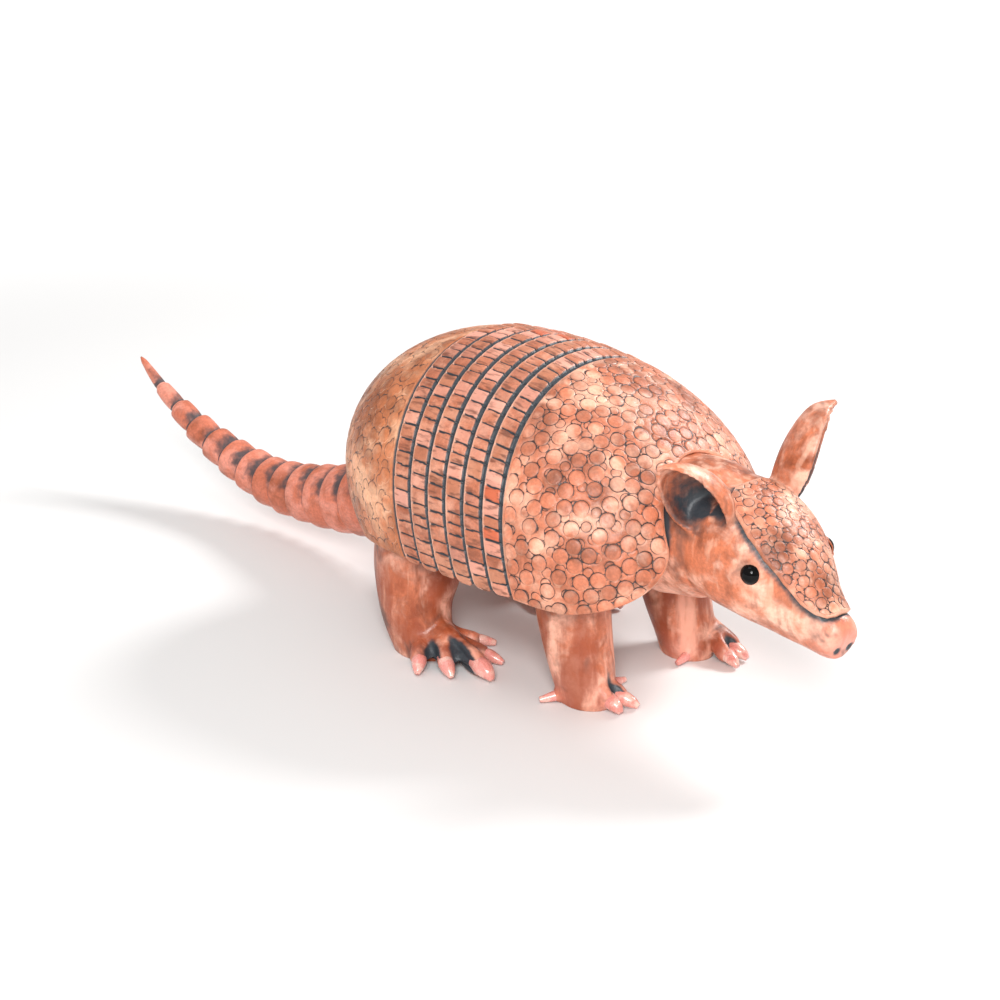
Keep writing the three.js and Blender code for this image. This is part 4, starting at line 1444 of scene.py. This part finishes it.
def brow_plate():
    p = BROW_LENGTHS[0] + BROW_RUN * edged_rows(130, BROW_RUN)
    half = np.interp(p, BROW_LENGTHS, BROW_WIDTHS)
    q = 2 * edged_rows(86, 50) - 1
    surface = head_tree()
    grid = np.zeros((len(q), len(p), 3))
    normals = np.zeros_like(grid)
    for i, share in enumerate(q):
        for j, run in enumerate(p):
            grid[i, j], normals[i, j] = brow_spot(surface, run, share * half[j])
    normals *= np.sign((normals @ BROW_LIFT))[..., None]
    distance = edge_distance(grid)
    height = BROW_THICK - rounding(distance, 1.8)
    outer = turned_head(grid + normals * height[..., None])
    inner = turned_head(thinned(grid - normals, 6, 6))
    attributes = {
        "open_face": np.clip((distance - 1.2) / 1.2, 0, 1),
        "edge": np.clip(1 - distance / 1.4, 0, 1) * 0.2,
        "trough": np.zeros_like(distance),
    }
    return closed_plate("brow_plate", outer, inner, attributes)


brow = brow_plate()
stamp(brow, (6.7, 3), 3.15, 2.2, width=0.6, depth=0.5, lean=0.8, seed=21, material=SHIELD)

# ------------------------------------------------------------------ claws and eyes

claws = []
for leg in LEGS:
    for number, (tip, thick) in enumerate(leg["toes"], start=1):
        _, nail, across = toe_rows(leg, tip, thick)
        verts, faces = taper(nail, across, sides=20, steps=20)
        verts[:, 2] = np.maximum(verts[:, 2], 0.0)
        claw = new_object(f"nail_{leg['name']}_{leg['side']}_{number}", verts, faces)
        use_finish(claw, CLAWS)
        node = f"{leg['name']}claw_{leg['side']}_{number}"
        claws.append((claw, node))


def eye_bead(side):
    stations = []
    for t in np.linspace(-1, 1, 13):
        size = EYE_RADIUS * math.sqrt(max(1 - t * t, 0.0004))
        stations.append([0, 0, t * EYE_RADIUS, size, size])
    verts, faces = taper(stations, (0, 1, 0), sides=48, steps=36)
    verts = turned_head(verts + EYE_PLACES[side])
    bead = new_object(f"eye_bead_{side}", verts, faces)
    use_finish(bead, EYES)
    return bead


eyes = {side: eye_bead(side) for side in EYE_PLACES}

# ------------------------------------------------------------------ joining the frame


def stands_for(piece, slot, *nodes):
    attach(piece, "root")
    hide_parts(*nodes)


stands_for(
    skin, "body_clay", "trunk", "neck", "head", "ear_right", "ear_left",
    "hindleg_right", "hindleg_left", "foreleg_right", "foreleg_left",
)
stands_for(pelvic, "shield_clay", "pelvic_shield")
stands_for(shoulder, "shield_clay", "shoulder_shield")
stands_for(brow, "shield_clay", "head_shield")
for number, plate in enumerate(bands, start=1):
    stands_for(plate, "band_clay", f"band_{number}")
stands_for(tail, "ring_clay", "tail_tip", *[f"tail_ring_{n}" for n in range(1, TAIL_RINGS + 1)])
for claw, node in claws:
    stands_for(claw, "claw_glaze", node)
for side, bead in eyes.items():
    stands_for(bead, "eye_glaze", f"eye_{side}")

# ------------------------------------------------------------------ floor, light and camera


def stage_floor():
    mesh = bpy.data.meshes.new("floor")
    half = 6.0
    corners = [(-half, -half, 0), (half, -half, 0), (half, half, 0), (-half, half, 0)]
    mesh.from_pydata(corners, [], [(0, 1, 2, 3)])
    floor = bpy.data.objects.new("floor", mesh)
    bpy.context.scene.collection.objects.link(floor)
    material, tree, shader = new_finish("pale_floor", 0.6)
    shader.inputs["Base Color"].default_value = tint(226, 225, 224)
    where = object_place(tree)
    away = put(tree, "ShaderNodeVectorMath", {0: where}, operation="LENGTH").outputs["Value"]
    glow = ramp(tree, away, 0.6, 1.5, 0.0, 0.65)
    tree.links.new(glow, shader.inputs["Emission Strength"])
    shader.inputs["Emission Color"].default_value = tint(255, 255, 255)
    use_finish(floor, material)


def area_light(name, direction, distance, size, energy):
    data = bpy.data.lights.new(name, "AREA")
    data.shape = "DISK"
    data.size = size
    data.energy = energy
    lamp = bpy.data.objects.new(name, data)
    target = Vector((0.08, 0, 0.07))
    way = Vector(direction).normalized()
    lamp.location = target + way * distance
    lamp.rotation_euler = way.to_track_quat("Z", "Y").to_euler()
    bpy.context.scene.collection.objects.link(lamp)


stage_floor()
area_light("key", (0.23, 0.82, 0.72), 2.0, 0.6, 36)
area_light("fill", (0.75, -0.9, 0.8), 2.4, 0.9, 46)
area_light("spark", (0.62, -0.72, 0.5), 1.6, 0.12, 2.2)
area_light("top", (-0.2, -0.2, 1.0), 2.2, 1.2, 7)

world = bpy.data.worlds.new("studio")
world.use_nodes = True
world.node_tree.nodes["Background"].inputs["Color"].default_value = (1, 1, 1, 1)
world.node_tree.nodes["Background"].inputs["Strength"].default_value = 0.5
bpy.context.scene.world = world
bpy.context.scene.view_settings.view_transform = "Standard"

CAMERA_PLACE = (722.1, -811.6, 518.6)
CAMERA_TILT, CAMERA_TURN = 68.5, 44
camera_data = bpy.data.cameras.new("camera")
camera_data.lens = 75
camera_data.sensor_width = 36
camera = bpy.data.objects.new("camera", camera_data)
camera.location = placed(CAMERA_PLACE)
camera.rotation_euler = (math.radians(CAMERA_TILT), 0, math.radians(CAMERA_TURN))
bpy.context.scene.collection.objects.link(camera)
bpy.context.scene.camera = camera
